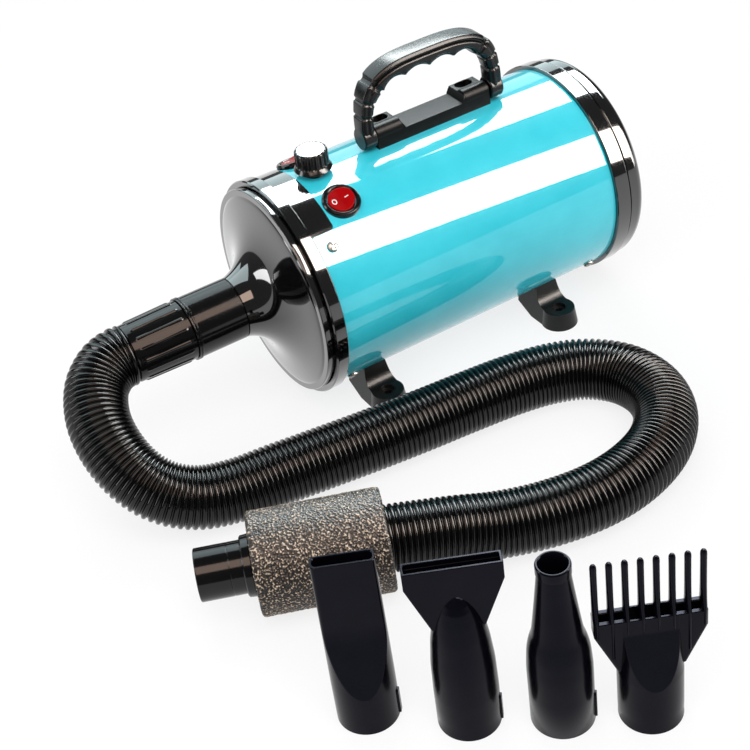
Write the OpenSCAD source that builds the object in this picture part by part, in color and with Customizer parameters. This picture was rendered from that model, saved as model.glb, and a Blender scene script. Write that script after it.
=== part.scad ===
// Handheld-hose pet dryer: a blower barrel on four feet, its hose, foam grip and four nozzles.
// Millimetres. +X runs along the barrel to the air intake, +Z is up, the origin lies on the
// floor at the centre of the four foot holes.

/* [Barrel] */
// Outer radius of the sheet barrel
barrel_r = 82.5; // [78:0.5:90]
// Length of the barrel that shows between its two end rings
barrel_l = 245; // [230:1:270]
// Thickness of the barrel's sheet
barrel_wall = 1.5; // [1:0.1:1.8]
// Height of the barrel's axis above the floor
axis_h = 92; // [91:0.5:100]
// How far the middle of the barrel lies behind the middle of the feet
barrel_back = 7.5; // [3:0.5:12]

/* [Front] */
// How far the ring at the outlet end stands out from the barrel
front_ring_step = 3; // [2:0.5:6]
// Width of that ring
front_ring_w = 10; // [8:0.5:14]
// How far the bell's flange stands out from the barrel, below 0 where it is smaller
flange_step = -1.5; // [-2.5:0.1:1]
// Width of the bell's flange
flange_w = 4.5; // [3:0.5:8]
// Width of the flat face of the flange, round the bell
flange_face = 5; // [4:0.5:7]
// Depth of the bell from its flange to the hose cuff
bell_depth = 32; // [26:1:40]
// Outer radius of the bell's neck
neck_r = 23.5; // [23.5:0.1:24]
// Wall of the bell
bell_wall = 2.5; // [2:0.1:3]

/* [Rear] */
// How far the ring at the intake end stands out from the barrel
rear_ring_step = 3.1; // [2.5:0.1:5]
// Width of that ring
rear_ring_w = 13; // [10:0.5:18]
// How far the intake cover stands out from the barrel
cover_step = 1.5; // [0.5:0.1:2.4]
// Length of the intake cover behind the groove
cover_l = 13.3; // [11:0.1:18]
// How far the edge of the intake opening lies inside the barrel's skin
intake_inset = 8.5; // [8:0.5:12]
// Width of one bar of the intake grille
grille_bar = 3; // [2:0.1:3.5]
// Slot between two bars of the intake grille
grille_slot = 3.6; // [3:0.1:3.8]
// Thickness of the foam intake filter
filter_t = 10; // [6:0.5:12]

/* [Handle] */
// Length of the handle over its two legs
handle_l = 124; // [118:1:132]
// Place of the handle's middle along the barrel
handle_x = 23; // [15:1:31]
// Height of the fold axis above the barrel's skin
pivot_lift = 10.5; // [10:0.5:13.5]
// How far the grip lies from the middle plane, towards the far side
handle_y = 1; // [0:0.5:2]
// Height of the grip's top above the fold axis
handle_rise = 56; // [51:1:66]
// Width of the grip across the barrel
grip_w = 20; // [18:0.5:24]
// Thickness of the grip at its top
grip_t = 16; // [14:0.5:20]
// Thickness of each leg along the barrel
leg_t = 11; // [9:0.5:13]
// Radius of the fold pins
pin_r = 3; // [2.5:0.1:3.2]
// Width of the base under the handle, across the barrel
saddle_w = 22.5; // [22.5:0.5:24]

/* [Controls] */
// Distance from the barrel's front edge to the middle of the two rockers
switch_in = 35; // [33:0.5:40]
// Angle of the heat rocker from the top, towards the near side
heat_angle = 26; // [24:0.5:32]
// Angle of the power rocker from the top, towards the far side
power_angle = 22; // [21:0.5:32]
// Radius of a rocker's bezel
bezel_r = 14.3; // [13.5:0.1:15]
// Radius of a rocker cap
rocker_r = 10; // [9:0.1:10.5]
// Full travel of a rocker, in degrees
rocker_throw = 16; // [10:1:18]
// Distance from the barrel's front edge to the speed knob
knob_in = 34.5; // [31:0.5:38]
// Angle of the speed knob from the top, towards the near side
knob_angle = 0; // [-2:0.5:2]
// Radius of the knob's fluted body
knob_r = 12.4; // [12:0.1:13]
// Height of the knob above its collar
knob_h = 15; // [13:0.5:20]
// Length of the label plate along the barrel
plate_l = 19; // [14:0.5:20]

/* [Feet] */
// Average distance from an end of the barrel to the foot holes below it
foot_margin = 41.5; // [38:0.5:48]
// How far a foot hole lies inside the barrel's widest line
foot_tuck = 14; // [10:0.5:18.5]
// Width of a foot's toe at its top
foot_w = 25; // [22:0.5:28]
// Height of a foot's toe
toe_h = 14; // [12:0.5:16]
// Radius of the hole through a toe
foot_hole_r = 2.75; // [2.5:0.05:3.5]

/* [Hose] */
// Outer radius of the hose over its ribs
hose_r = 23; // [22:0.1:23]
// Radius of the hose's bore
hose_bore_r = 17.5; // [16:0.1:18]
// Depth of the grooves between two ribs
rib_depth = 1.7; // [1:0.1:2.5]
// Number of ribs
hose_ribs = 190; // [100:1:200]
// Length of the smooth connector that sits on the bell's neck
connector_l = 42; // [36:0.5:46]
// Length of the ribbed cuff that turns on the connector
cuff_l = 46; // [42:0.5:50]
// Outer radius of the foam grip
foam_r = 35.5; // [33:0.5:38]
// Length of the foam grip
foam_l = 90; // [80:1:100]

/* [Nozzles] */
// Outer radius of the tube that the nozzles push onto
tube_r = 18; // [17.5:0.1:19]
// Length of that tube ahead of its collar
tube_l = 31; // [26:0.5:36]
// Wall of a nozzle
nozzle_wall = 1.7; // [1.4:0.1:2.2]
// Height of the flat nozzle
flat_h = 131; // [115:1:140]
// Height of the wide nozzle
wide_h = 131; // [115:1:140]
// Height of the round nozzle
round_h = 128; // [115:1:140]
// Height of the comb nozzle
comb_h = 128; // [115:1:140]
// Width of the wide nozzle's mouth
wide_mouth_w = 58; // [52:0.5:62]
// Length of the comb's teeth
tooth_l = 43; // [36:0.5:50]
// Number of the comb's teeth
teeth = 8; // [6:1:9]

/* [Hidden] */
$fn = 96;

// Clearances
seat = 0.2;          // between two seated pieces of one body
run = 0.05;          // radial, between a pin and its bore
slide_gap = 0.3;     // between pieces that move past each other
eps = 0.1;           // overrun of a cut

// Stations along the barrel's axis, from the outlet to the intake
barrel_x0 = barrel_back - barrel_l / 2;
barrel_x1 = barrel_back + barrel_l / 2;
front_ring_x = barrel_x0 - front_ring_w;
groove_w = 1.2;
flange_x1 = front_ring_x - groove_w;
flange_x0 = flange_x1 - flange_w;
neck_x = flange_x0 - bell_depth;
cuff_x1 = neck_x - connector_l;
cuff_x0 = cuff_x1 - cuff_l;
rear_ring_x = barrel_x1 + rear_ring_w;
cover_x0 = rear_ring_x + groove_w;
cover_x1 = cover_x0 + cover_l;

switch_x = barrel_x0 + switch_in;
knob_x = barrel_x0 + knob_in;

// Radii and heights that follow the barrel's skin
front_ring_r = barrel_r + front_ring_step;
flange_r = barrel_r + flange_step;
bell_rim_r = flange_r - flange_face;
rear_ring_r = barrel_r + rear_ring_step;
cover_r = barrel_r + cover_step;
intake_r = barrel_r - intake_inset;
pivot_h = barrel_r + pivot_lift;
handle_top = pivot_h + handle_rise;

// Radii inside the barrel
bore_r = barrel_r - barrel_wall;
spigot_r = bore_r - seat;
spigot_t = 3.5;
spigot_l = 18;
liner_t = 8.5;
liner_r = bore_r - seat - liner_t;

// Fastener sizes
screw_r = 2;
screw_head_r = 4.2;
screw_head_h = 2.2;
ring_screw_x = barrel_x0 + 11.5;
ring_screw_angle = 46;
ring_screws = [[ring_screw_x, ring_screw_angle], [ring_screw_x, -ring_screw_angle],
  [ring_screw_x, 180 - ring_screw_angle], [ring_screw_x, 180 + ring_screw_angle],
  [barrel_x1 - 11.5, 180 - ring_screw_angle], [barrel_x1 - 11.5, 180 + ring_screw_angle]];

// A point of a cubic Bezier curve through a, b, c and d at t from 0 to 1
function bezier(a, b, c, d, t) =
  pow(1 - t, 3) * a + 3 * pow(1 - t, 2) * t * b + 3 * (1 - t) * t * t * c + pow(t, 3) * d;
function curve(a, b, c, d, steps) = [for (i = [0:steps]) bezier(a, b, c, d, i / steps)];

// Turns a profile of [radius, x] about the barrel's axis
module turned() {
  translate([0, 0, axis_h]) rotate([0, 90, 0]) rotate_extrude($fn = 128) children();
}

// A plain tube on the barrel's axis, from x0 to x1
module tube_x(x0, x1, outer, inner) {
  turned() translate([inner, x0]) square([outer - inner, x1 - x0]);
}

// A round bar along X
module bar_x(x0, x1, r) {
  translate([x0, 0, 0]) rotate([0, 90, 0]) cylinder(h = x1 - x0, r = r);
}

// Puts its children on the barrel's skin at x, turned by angle from the top to the near side
module on_barrel(x, angle) {
  translate([x, 0, axis_h]) rotate([angle, 0, 0]) translate([0, 0, barrel_r]) children();
}

// The space of the barrel itself, for seating pieces on its skin
module barrel_space(grow = 0) {
  translate([0, 0, axis_h]) bar_x(-barrel_l, barrel_l, barrel_r + grow);
}

// ---------- barrel and its ends ----------

module barrel() {
  color("#38c9dc") difference() {
    tube_x(barrel_x0, barrel_x1, barrel_r, bore_r);
    on_barrel(knob_x, knob_angle) translate([0, 0, -5]) cylinder(h = 10, r = bush_r + seat);
    on_barrel(switch_x, heat_angle) translate([0, 0, -8]) cylinder(h = 12, r = switch_r + seat);
    on_barrel(switch_x, -power_angle) translate([0, 0, -8]) cylinder(h = 12, r = switch_r + seat);
    for (s = ring_screws) on_barrel(s[0], s[1]) screw_hole();
    for (x = handle_screw_x) handle_screw_hole(x);
    for (x = foot_x, side = [1, -1]) on_barrel(x, 180 - side * foot_screw_angle) screw_hole();
    on_barrel(gland_x, gland_angle) translate([0, 0, -5]) cylinder(h = 10, r = gland_r + seat);
  }
}

module screw_hole() {
  translate([0, 0, -12]) cylinder(h = 24, r = screw_r + seat / 2, $fn = 24);
}

module front_ring() {
  edge = 1;
  color("#161618") difference() {
    turned() polygon([
      [spigot_r, barrel_x0 + spigot_l], [spigot_r - spigot_t, barrel_x0 + spigot_l],
      [spigot_r - spigot_t, front_ring_x], [front_ring_r - edge, front_ring_x],
      [front_ring_r, front_ring_x + edge], [front_ring_r, barrel_x0 - edge / 2],
      [front_ring_r - edge / 2, barrel_x0], [spigot_r, barrel_x0]
    ]);
    for (s = ring_screws) on_barrel(s[0], s[1]) screw_hole();
  }
}

// The bell: a flange on the front ring, an S-shaped trumpet and a spigot for the hose cuff
bell_steps = 18;
neck_spigot_r = 21;
neck_spigot_l = 20;
neck_bore_r = 19;
bell_bore_r = bell_rim_r - 1.5 - bell_wall;
bell_outside = curve([bell_rim_r - 1.5, flange_x0 - 0.8], [neck_r + 36.5, flange_x0 - 0.14 * bell_depth],
  [neck_r + 6.5, flange_x0 - 0.17 * bell_depth], [neck_r, neck_x], bell_steps);
bell_inside = curve([neck_bore_r, neck_x], [neck_r + 2 - bell_wall, flange_x0 - 0.17 * bell_depth + 2 * bell_wall],
  [neck_r + 36.5, flange_x0 - 0.14 * bell_depth + 1.5 * bell_wall], [bell_bore_r, flange_x1], bell_steps);

module outlet_bell() {
  bead = spigot_r - spigot_t - seat;
  color("#1a1a1c") turned() polygon(concat(
    [[bead, front_ring_x + 5], [bead, front_ring_x], [flange_r - 2.5, front_ring_x],
      [flange_r - 2.5, flange_x1], [flange_r - 0.8, flange_x1], [flange_r, flange_x1 - 0.8],
      [flange_r, flange_x0 + 0.8], [flange_r - 0.8, flange_x0], [bell_rim_r, flange_x0]],
    bell_outside,
    [[neck_spigot_r, neck_x], [neck_spigot_r, neck_x - neck_spigot_l],
      [neck_bore_r, neck_x - neck_spigot_l]],
    bell_inside,
    [[bell_bore_r, front_ring_x + 5]]
  ));
}

filter_x = barrel_x1 - 8;

module rear_ring() {
  edge = 1;
  ledge_r = intake_r - 6;
  color("#161618") difference() {
    turned() polygon([
      [spigot_r, barrel_x1 - spigot_l], [ledge_r, barrel_x1 - spigot_l],
      [ledge_r, filter_x - seat], [intake_r, filter_x - seat],
      [intake_r, rear_ring_x], [rear_ring_r - edge, rear_ring_x],
      [rear_ring_r, rear_ring_x - edge], [rear_ring_r, barrel_x1 + edge / 2],
      [rear_ring_r - edge / 2, barrel_x1], [spigot_r, barrel_x1]
    ]);
    for (s = ring_screws) on_barrel(s[0], s[1]) screw_hole();
  }
}

// The intake cover: a rounded rim, a spigot that pushes into the rear ring, and a round grille
grille_pitch = grille_bar + grille_slot;
grille_t = 3.5;
grille_hub_r = 8;
grille_r = intake_r - 6;
rim_curve = [for (a = [0:10:90]) [cover_r - 6 + 6 * cos(a), cover_x1 - 7 + 7 * sin(a)]];

module intake_cover() {
  spigot = intake_r - slide_gap;
  color("#161618") union() {
    turned() polygon(concat(
      [[spigot - 2.5, cover_x0 - 8], [spigot, cover_x0 - 8], [spigot, rear_ring_x + slide_gap],
        [cover_r - 3, rear_ring_x + slide_gap], [cover_r - 3, cover_x0], [cover_r, cover_x0]],
      rim_curve,
      [[grille_r, cover_x1], [grille_r, cover_x1 - grille_t], [spigot - 2.5, cover_x1 - grille_t]]
    ));
    for (r = [grille_hub_r + grille_slot:grille_pitch:grille_r - grille_pitch])
      tube_x(cover_x1 - grille_t, cover_x1, r + grille_bar, r);
    tube_x(cover_x1 - grille_t, cover_x1, grille_hub_r, 0);
    for (a = [0:45:315])
      translate([cover_x1 - grille_t, 0, axis_h]) rotate([a, 0, 0])
        translate([0.5, -1.5, grille_hub_r - 1]) cube([grille_t - 1, 3, grille_r - grille_hub_r + 2]);
  }
}

module intake_filter() {
  color("#3a3d42") tube_x(filter_x, filter_x + filter_t, intake_r - seat, 0);
}

label_t = 0.6;

module label_plate() {
  span = 76;
  color("#121214") translate([barrel_x0 + seat, 0, axis_h]) rotate([0, 90, 0])
    rotate([0, 0, 180 - span / 2]) rotate_extrude(angle = span, $fn = 128)
      translate([barrel_r + seat / 2, 0]) square([label_t, plate_l]);
}

// ---------- handle ----------

eye_r = 9;
boss_r = 6.5;
boss_l = 22;
lug_gap = 0.8;
boss_x = handle_l / 2 - leg_t - lug_gap;   // outer face of a boss, from the handle's middle
base_root = barrel_r - 12;
plate_top = barrel_r + 9.5;
block_top = barrel_r + 15;
recess_floor = barrel_r + 6;
base_near = handle_y - boss_r;
base_far = base_near + saddle_w;
handle_screw_x = [handle_x - boss_x + 12, handle_x + boss_x - 12];
slot_r = screw_head_r + 0.3;
handle_screw_y = base_far - slot_r - 0.7;

// A hole straight down through the base and the barrel for a handle screw
module handle_screw_hole(x) {
  translate([x, handle_screw_y, axis_h + recess_floor - 20]) cylinder(h = 24, r = screw_r + seat / 2, $fn = 24);
}

// A low plate between two end blocks; each block carries a round boss for a fold pin
module handle_base() {
  bevel = 1.5;
  color("#18181a") difference() {
    union() {
      translate([handle_x - boss_x, 0, axis_h]) rotate([90, 0, 90]) linear_extrude(2 * boss_x) polygon([
        [base_near, base_root], [base_far, base_root], [base_far, plate_top - bevel],
        [base_far - bevel, plate_top], [base_near, plate_top]]);
      for (x = [handle_x - boss_x, handle_x + boss_x - boss_l]) translate([x, 0, axis_h]) {
        rotate([90, 0, 90]) linear_extrude(boss_l) polygon([
          [base_near, base_root], [base_far, base_root], [base_far, block_top - bevel],
          [base_far - bevel, block_top], [base_near, block_top]]);
        translate([0, handle_y, pivot_h]) bar_x(0, boss_l, boss_r);
      }
    }
    barrel_space();
    for (side = [-1, 1]) translate([handle_x + side * boss_x, handle_y, axis_h + pivot_h])
      bar_x(-boss_l - 1, boss_l + 1, pin_r + run);
    for (x = handle_screw_x) {
      handle_screw_hole(x);
      for (dx = [-2.5, 2.5]) translate([x + dx, handle_screw_y, axis_h + recess_floor])
        cylinder(h = 20, r = slot_r);
      translate([x - 2.5, handle_screw_y - slot_r, axis_h + recess_floor]) cube([5, 2 * slot_r, 20]);
    }
  }
}

// The grip is a D: a squarish arch whose inner side has a scallop for each finger
arch_n = 3.4;                                    // squareness of the arch
arch_a = handle_l / 2 - leg_t / 2;               // half the arch's length, at its middle line
arch_b = handle_top - grip_t / 2 - pivot_h;      // its rise above the fold axis
arch_steps = 72;
arch_sides = 16;
scallop = 3.5;
finger_pitch = 0.43 * (handle_l / 2 - leg_t);    // two scallops each side of the middle
function spow(v, p) = sign(v) * pow(abs(v), p);
function arch_point(t) = let (
    r = pow(pow(abs(cos(t)) / arch_a, arch_n) + pow(sin(t) / arch_b, arch_n), -1 / arch_n))
  [-r * cos(t), 0, r * sin(t)];
function arch_dir(t) = let (d = arch_point(min(t + 0.5, 180)) - arch_point(max(t - 0.5, 0))) d / norm(d);
// Share of the widening from a leg, 0 below leg_share of its rise, to the flat top, 1
leg_share = 0.4;
function top_share(t) = let (z = max(0, arch_point(t)[2] / arch_b - leg_share) / (1 - leg_share))
  z * z * (3 - 2 * z);
function arch_half(t) = leg_t / 2 + (grip_t - leg_t) / 2 * top_share(t);
function arch_side(t) = eye_r - 0.5 + (grip_w / 2 - eye_r + 0.5) * top_share(t);
function scallop_at(t) = let (x = arch_point(t)[0])
  abs(x) < 2 * finger_pitch ? scallop * abs(sin(180 * x / finger_pitch)) : 0;
function arch_ring(t) = let (p = arch_point(t), d = arch_dir(t), out = cross(d, [0, 1, 0]), h = arch_half(t))
  [for (k = [0:arch_sides - 1]) let (a = 360 * k / arch_sides, c = spow(cos(a), 0.62), s = spow(sin(a), 0.62))
    p - out * (c < 0 ? h * c : (h - scallop_at(t)) * c) + [0, arch_side(t) * s, 0]];

module handle_grip() {
  rings = [for (i = [0:arch_steps]) arch_ring(180 * i / arch_steps)];
  color("#18181a") translate([handle_x, handle_y, axis_h + pivot_h]) difference() {
    union() {
      tube_mesh(rings);
      for (side = [-1, 1]) translate([side * arch_a, 0, 0]) bar_x(-leg_t / 2, leg_t / 2, eye_r);
    }
    for (side = [-1, 1]) translate([side * arch_a, 0, 0]) bar_x(-leg_t, leg_t, pin_r + run);
  }
}

// Each pin is pressed into its boss and ends just inside the leg's outer face
module handle_pins() {
  color("#9a9da0") for (side = [-1, 1])
    translate([handle_x, handle_y, axis_h + pivot_h]) rotate([0, 0, side < 0 ? 180 : 0])
      bar_x(boss_x - boss_l + 0.5, handle_l / 2 - 0.5, pin_r);
}

module handle_screws() {
  color("#b8babd") for (x = handle_screw_x) translate([x, handle_screw_y, axis_h + recess_floor]) {
    cylinder(h = screw_head_h, r = screw_head_r, $fn = 48);
    translate([0, 0, -11]) cylinder(h = 11 + eps, r = screw_r, $fn = 24);
  }
}

// ---------- controls ----------

bush_r = 4.5;
shaft_r = 3;
collar_r = 8.4;
collar_h = 4.2;
skirt_h = 3.5;
flutes = 18;
knob_z = collar_h + slide_gap;
cap_t = 1.2;

module knob_place() {
  on_barrel(knob_x, knob_angle) children();
}

module knob_collar() {
  color("#151517") difference() {
    knob_place() translate([0, 0, -2]) cylinder(h = collar_h + 2, r = collar_r);
    barrel_space();
    knob_place() translate([0, 0, -10]) cylinder(h = 20, r = bush_r + seat);
  }
}

module speed_knob() {
  color("#131315") knob_place() translate([0, 0, knob_z]) difference() {
    union() {
      cylinder(h = skirt_h, r1 = knob_r + 2, r2 = knob_r);
      translate([0, 0, skirt_h - eps]) linear_extrude(knob_h - skirt_h + eps) difference() {
        circle(r = knob_r);
        for (i = [0:flutes - 1]) rotate(360 * (i + 0.5) / flutes)
          translate([knob_r + 0.2, 0]) circle(r = 1.3, $fn = 16);
      }
    }
    translate([0, 0, -1]) cylinder(h = 4.5, r = bush_r + 1);
    translate([0, 0, 2]) cylinder(h = knob_h - 6, r = shaft_r + run);
    translate([0, 0, knob_h - cap_t]) cylinder(h = 2 * cap_t, r = knob_r - 1.7);
  }
}

module knob_cap() {
  color("#d5d7da") knob_place() translate([0, 0, knob_z + knob_h - cap_t + seat]) difference() {
    cylinder(h = cap_t, r1 = knob_r - 1.9, r2 = knob_r - 2.2);
    translate([knob_r - 5, -0.5, cap_t - 0.5]) cube([4, 1, 1]);
  }
}

pot_r = 8.5;
pot_d = 10;

module potentiometer() {
  color("#7d8489") knob_place() difference() {
    union() {
      translate([0, 0, -barrel_wall - seat - 1.3 - pot_d]) cylinder(h = pot_d, r = pot_r);
      translate([0, 0, -barrel_wall - seat - 1.3 - eps]) cylinder(h = 9, r = bush_r);
    }
    translate([0, 0, -barrel_wall - 7]) cylinder(h = 20, r = shaft_r + run);
  }
}

module pot_shaft() {
  color("#b9bcc0") knob_place() translate([0, 0, -barrel_wall - 6.5])
    cylinder(h = barrel_wall + 6.5 + knob_z + knob_h - 5, r = shaft_r);
}

// A rocker tips about a pin that lies across the barrel, just above the skin
switch_r = 11.8;
switch_d = 16;
bezel_h = 3.2;
bezel_hole_r = rocker_r + 0.9;
pivot_w = 1;
rocker_pin_r = 1.2;

module rocker_bezel(angle) {
  color("#101012") difference() {
    union() {
      difference() {
        on_barrel(switch_x, angle) {
          translate([0, 0, -2.5]) cylinder(h = bezel_h + 1.6, r = bezel_r);
          translate([0, 0, bezel_h - 1]) cylinder(h = 1, r1 = bezel_r, r2 = bezel_r - 1.2);
        }
        barrel_space();
      }
      on_barrel(switch_x, angle) translate([0, 0, -switch_d]) cylinder(h = switch_d + 1, r = switch_r);
    }
    on_barrel(switch_x, angle) {
      translate([0, 0, -7]) cylinder(h = 15, r = bezel_hole_r);
      translate([0, 0, pivot_w]) rotate([90, 0, 0])
        cylinder(h = 2 * rocker_r + 3.4, r = rocker_pin_r + run, center = true, $fn = 32);
    }
  }
}

module rocker_cap(angle, rest) {
  middle_z = 2.2;
  end_z = middle_z + 1.5 * rocker_r * tan(7);
  color("#d01016") on_barrel(switch_x, angle) translate([0, 0, pivot_w]) rotate([0, rest, 0]) {
    intersection() {
      translate([0, 0, -5]) cylinder(h = 12, r = rocker_r);
      rotate([90, 0, 0]) linear_extrude(3 * rocker_r, center = true) intersection() {
        circle(r = rocker_r + 0.3);
        polygon([[-1.5 * rocker_r, -4], [1.5 * rocker_r, -4], [1.5 * rocker_r, end_z],
          [0, middle_z], [-1.5 * rocker_r, end_z]]);
      }
    }
    rotate([90, 0, 0]) cylinder(h = 2 * rocker_r + 2.8, r = rocker_pin_r, center = true, $fn = 32);
  }
}

module heat_bezel() rocker_bezel(heat_angle);
module power_bezel() rocker_bezel(-power_angle);
module heat_rocker() rocker_cap(heat_angle, -rocker_throw / 2);
module power_rocker() rocker_cap(-power_angle, -rocker_throw / 2);

// ---------- feet, screws and gland ----------

foot_pitch_x = barrel_l - 2 * foot_margin;
foot_x = [-foot_pitch_x / 2, foot_pitch_x / 2];
foot_y = barrel_r - foot_tuck;
toe_r = foot_w / 2;
foot_flare = 2;                          // how much wider the toe is on the floor than at its top
foot_slope = foot_flare / toe_h;
foot_in = 30;
foot_screw_angle = 27;
leg_top = 40;
foot_top = curve([foot_y - 16, 34], [foot_y - 15, toe_h + 7], [foot_y - 13, toe_h], [foot_y - 4, toe_h], 8);

// A foot for the far side: a leg that slopes down from the barrel to a thick round toe.
// The near side's is its mirror image.
module foot(x, side) {
  sole = toe_r + foot_flare;
  color("#1b1a1a") translate([x, 0, 0]) mirror([0, side < 0 ? 1 : 0, 0]) difference() {
    intersection() {
      rotate([90, 0, 90]) translate([0, 0, -foot_w]) linear_extrude(2 * foot_w)
        polygon(concat([[foot_in, 6], [foot_in, leg_top], [foot_y - 16, leg_top]], foot_top,
          [[foot_y + sole + 1, toe_h], [foot_y + sole + 1, 0], [foot_y - 20, 0]]));
      union() {
        translate([0, foot_y, 0]) cylinder(h = leg_top, r1 = sole, r2 = sole - leg_top * foot_slope);
        rotate([90, 0, 180]) translate([0, 0, foot_in - 1]) linear_extrude(foot_y - foot_in)
          polygon([[1 - sole, -1], [sole - 1, -1], [sole - 1 - leg_top * foot_slope, leg_top],
            [1 - sole + leg_top * foot_slope, leg_top]]);
      }
    }
    translate([-x, 0, 0]) barrel_space();
    translate([0, foot_y, -eps]) cylinder(h = 20, r = foot_hole_r, $fn = 48);
    translate([0, foot_y, toe_h - 3]) cylinder(h = 20, r = foot_hole_r + 2.8, $fn = 48);
    translate([-x, 0, 0]) on_barrel(x, 180 + foot_screw_angle)
      translate([0, 0, -12]) cylinder(h = foot_screw_l, r = screw_r + seat / 2, $fn = 24);
  }
}

foot_screw_l = 20;

module foot_front_near() foot(foot_x[0], -1);
module foot_front_far() foot(foot_x[0], 1);
module foot_rear_near() foot(foot_x[1], -1);
module foot_rear_far() foot(foot_x[1], 1);

// Screws from inside the barrel into each foot
module foot_screws() {
  color("#b8babd") for (x = foot_x, side = [-1, 1])
    on_barrel(x, 180 - side * foot_screw_angle) translate([0, 0, -barrel_wall - seat]) {
      translate([0, 0, -screw_head_h]) cylinder(h = screw_head_h, r = screw_head_r, $fn = 48);
      translate([0, 0, -eps]) cylinder(h = 9, r = screw_r, $fn = 24);
    }
}

// Screws through the barrel into its end rings
module barrel_screws() {
  color("#c6c8ca") for (s = ring_screws) on_barrel(s[0], s[1]) difference() {
    union() {
      translate([0, 0, seat]) cylinder(h = screw_head_h - 0.8, r = screw_head_r, $fn = 48);
      translate([0, 0, seat + screw_head_h - 0.8 - eps])
        cylinder(h = 0.8 + eps, r1 = screw_head_r, r2 = screw_head_r - 1.2, $fn = 48);
      translate([0, 0, -6]) cylinder(h = 7, r = screw_r, $fn = 24);
    }
    for (a = [0, 90]) rotate([0, 0, a]) translate([-2.4, -0.5, screw_head_h - 1]) cube([4.8, 1, 2]);
  }
}

gland_x = 56;
gland_angle = -125;
gland_r = 7;
gland_nut_r = 9.8;
cord_bore_r = 3.6;

module cord_gland() {
  color("#141416") difference() {
    union() {
      on_barrel(gland_x, gland_angle) {
        translate([0, 0, -8]) cylinder(h = 10, r = gland_r);
        translate([0, 0, 1]) cylinder(h = 15, r1 = gland_r, r2 = cord_bore_r + 1.6);
      }
      difference() {
        on_barrel(gland_x, gland_angle) translate([0, 0, -1]) cylinder(h = 4.5, r = gland_nut_r, $fn = 6);
        barrel_space();
      }
      on_barrel(gland_x, gland_angle) translate([0, 0, -8]) cylinder(h = 4.5, r = gland_nut_r, $fn = 6);
    }
    on_barrel(gland_x, gland_angle) translate([0, 0, -15]) cylinder(h = 40, r = cord_bore_r);
  }
}

// ---------- hose ----------

cuff_bore_r = 19.6;
connector_r = 23.7;
swivel_spigot_l = 16;
ridge_count = 16;

module cuff_connector() {
  bore = neck_spigot_r + seat;
  color("#151517") turned() polygon([
    [bore, neck_x - seat], [connector_r - 1, neck_x - seat], [connector_r, neck_x - seat - 1],
    [connector_r, cuff_x1 + 3.5], [connector_r + 0.7, cuff_x1 + 3], [connector_r + 0.7, cuff_x1],
    [bore, cuff_x1]]);
}

module cuff_swivel() {
  spigot = neck_spigot_r + seat - 0.1;
  shell_r = connector_r - 0.6;
  color("#131315") union() {
    turned() polygon([
      [cuff_bore_r, cuff_x1 + swivel_spigot_l], [spigot, cuff_x1 + swivel_spigot_l],
      [spigot, cuff_x1 - slide_gap], [shell_r, cuff_x1 - slide_gap], [shell_r - 1, cuff_x0 + 1],
      [shell_r - 2, cuff_x0], [cuff_bore_r, cuff_x0]]);
    for (i = [0:ridge_count - 1])
      translate([cuff_x0 + 5, 0, axis_h]) rotate([360 * (i + 0.5) / ridge_count, 0, 0])
        translate([0, -0.7, shell_r - 2]) cube([cuff_l - 10, 1.4, 2.7]);
  }
}

// The hose's route: out of the cuff, down to the floor, round the loop and into the grip.
// On the floor its axis lies half a millimetre above its radius.
tail_l = cuff_l;
route = [
  [-251, 0, 92], [-260, 0, 92], [-272, -4, 90], [-285, -15, 84], [-294, -35, 74], [-295, -56, 61],
  [-289, -75, 47], [-276, -90, 35], [-256, -101, 27], [-230, -107, 23.5], [-201, -111, 23.5],
  [-169, -116, 23.5], [-129, -122, 23.5], [-89, -127, 23.5], [-49, -131, 23.5], [-11, -136, 23.5],
  [19, -144, 23.5], [43, -158, 23.5], [59, -180, 23.5], [62, -208, 23.5], [51, -235, 23.5],
  [28, -256, 23.5], [-3, -268, 23.5], [-37, -271, 23.5], [-73, -265, 23.5], [-107, -254, 25],
  [-139, -243, 31], [-178, -228, 35.5]
];
grip_turn = 157;                         // heading of the foam grip, from +X
grip_dir = [cos(grip_turn), sin(grip_turn), 0];
hose_start = [cuff_x0, 0, axis_h];
grip_back = [route[len(route) - 1][0], route[len(route) - 1][1], foam_r];
grip_hold = hose_r * 2;                  // how far the hose runs straight inside the foam

// The route with its two straight ends, and its length so far at each point
shift_start = hose_start - route[0];
function moved(i) = route[i] + (i < 4 ? shift_start * (4 - i) / 4 : [0, 0, 0]);
middle = [for (i = [0:len(route) - 2]) moved(i)];
function spline(p, i, t) = let (a = p[max(i - 1, 0)], b = p[i], c = p[i + 1], d = p[min(i + 2, len(p) - 1)])
  0.5 * (2 * b + (c - a) * t + (2 * a - 5 * b + 4 * c - d) * t * t + (3 * b - a - 3 * c + d) * t * t * t);
anchors = concat(
  [hose_start + [tail_l, 0, 0], hose_start + [tail_l / 2, 0, 0]], middle,
  [grip_back, grip_back + grip_dir * grip_hold / 2, grip_back + grip_dir * grip_hold]);
fine = 8;
dense = concat([for (i = [0:len(anchors) - 2], k = [0:fine - 1]) spline(anchors, i, k / fine)],
  [anchors[len(anchors) - 1]]);
function run_length(p, i = 0, sum = 0, out = []) =
  i == len(p) ? out
  : run_length(p, i + 1, sum + (i + 1 < len(p) ? norm(p[i + 1] - p[i]) : 0), concat(out, [sum]));
lengths = run_length(dense);
hose_l = lengths[len(lengths) - 1];
function find_at(s, lo, hi) = hi - lo < 2 ? lo
  : let (mid = floor((lo + hi) / 2)) lengths[mid] <= s ? find_at(s, mid, hi) : find_at(s, lo, mid);
function hose_point(s) = let (i = find_at(s, 0, len(lengths) - 1))
  dense[i] + (dense[i + 1] - dense[i]) * (s - lengths[i]) / (lengths[i + 1] - lengths[i]);
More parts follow.
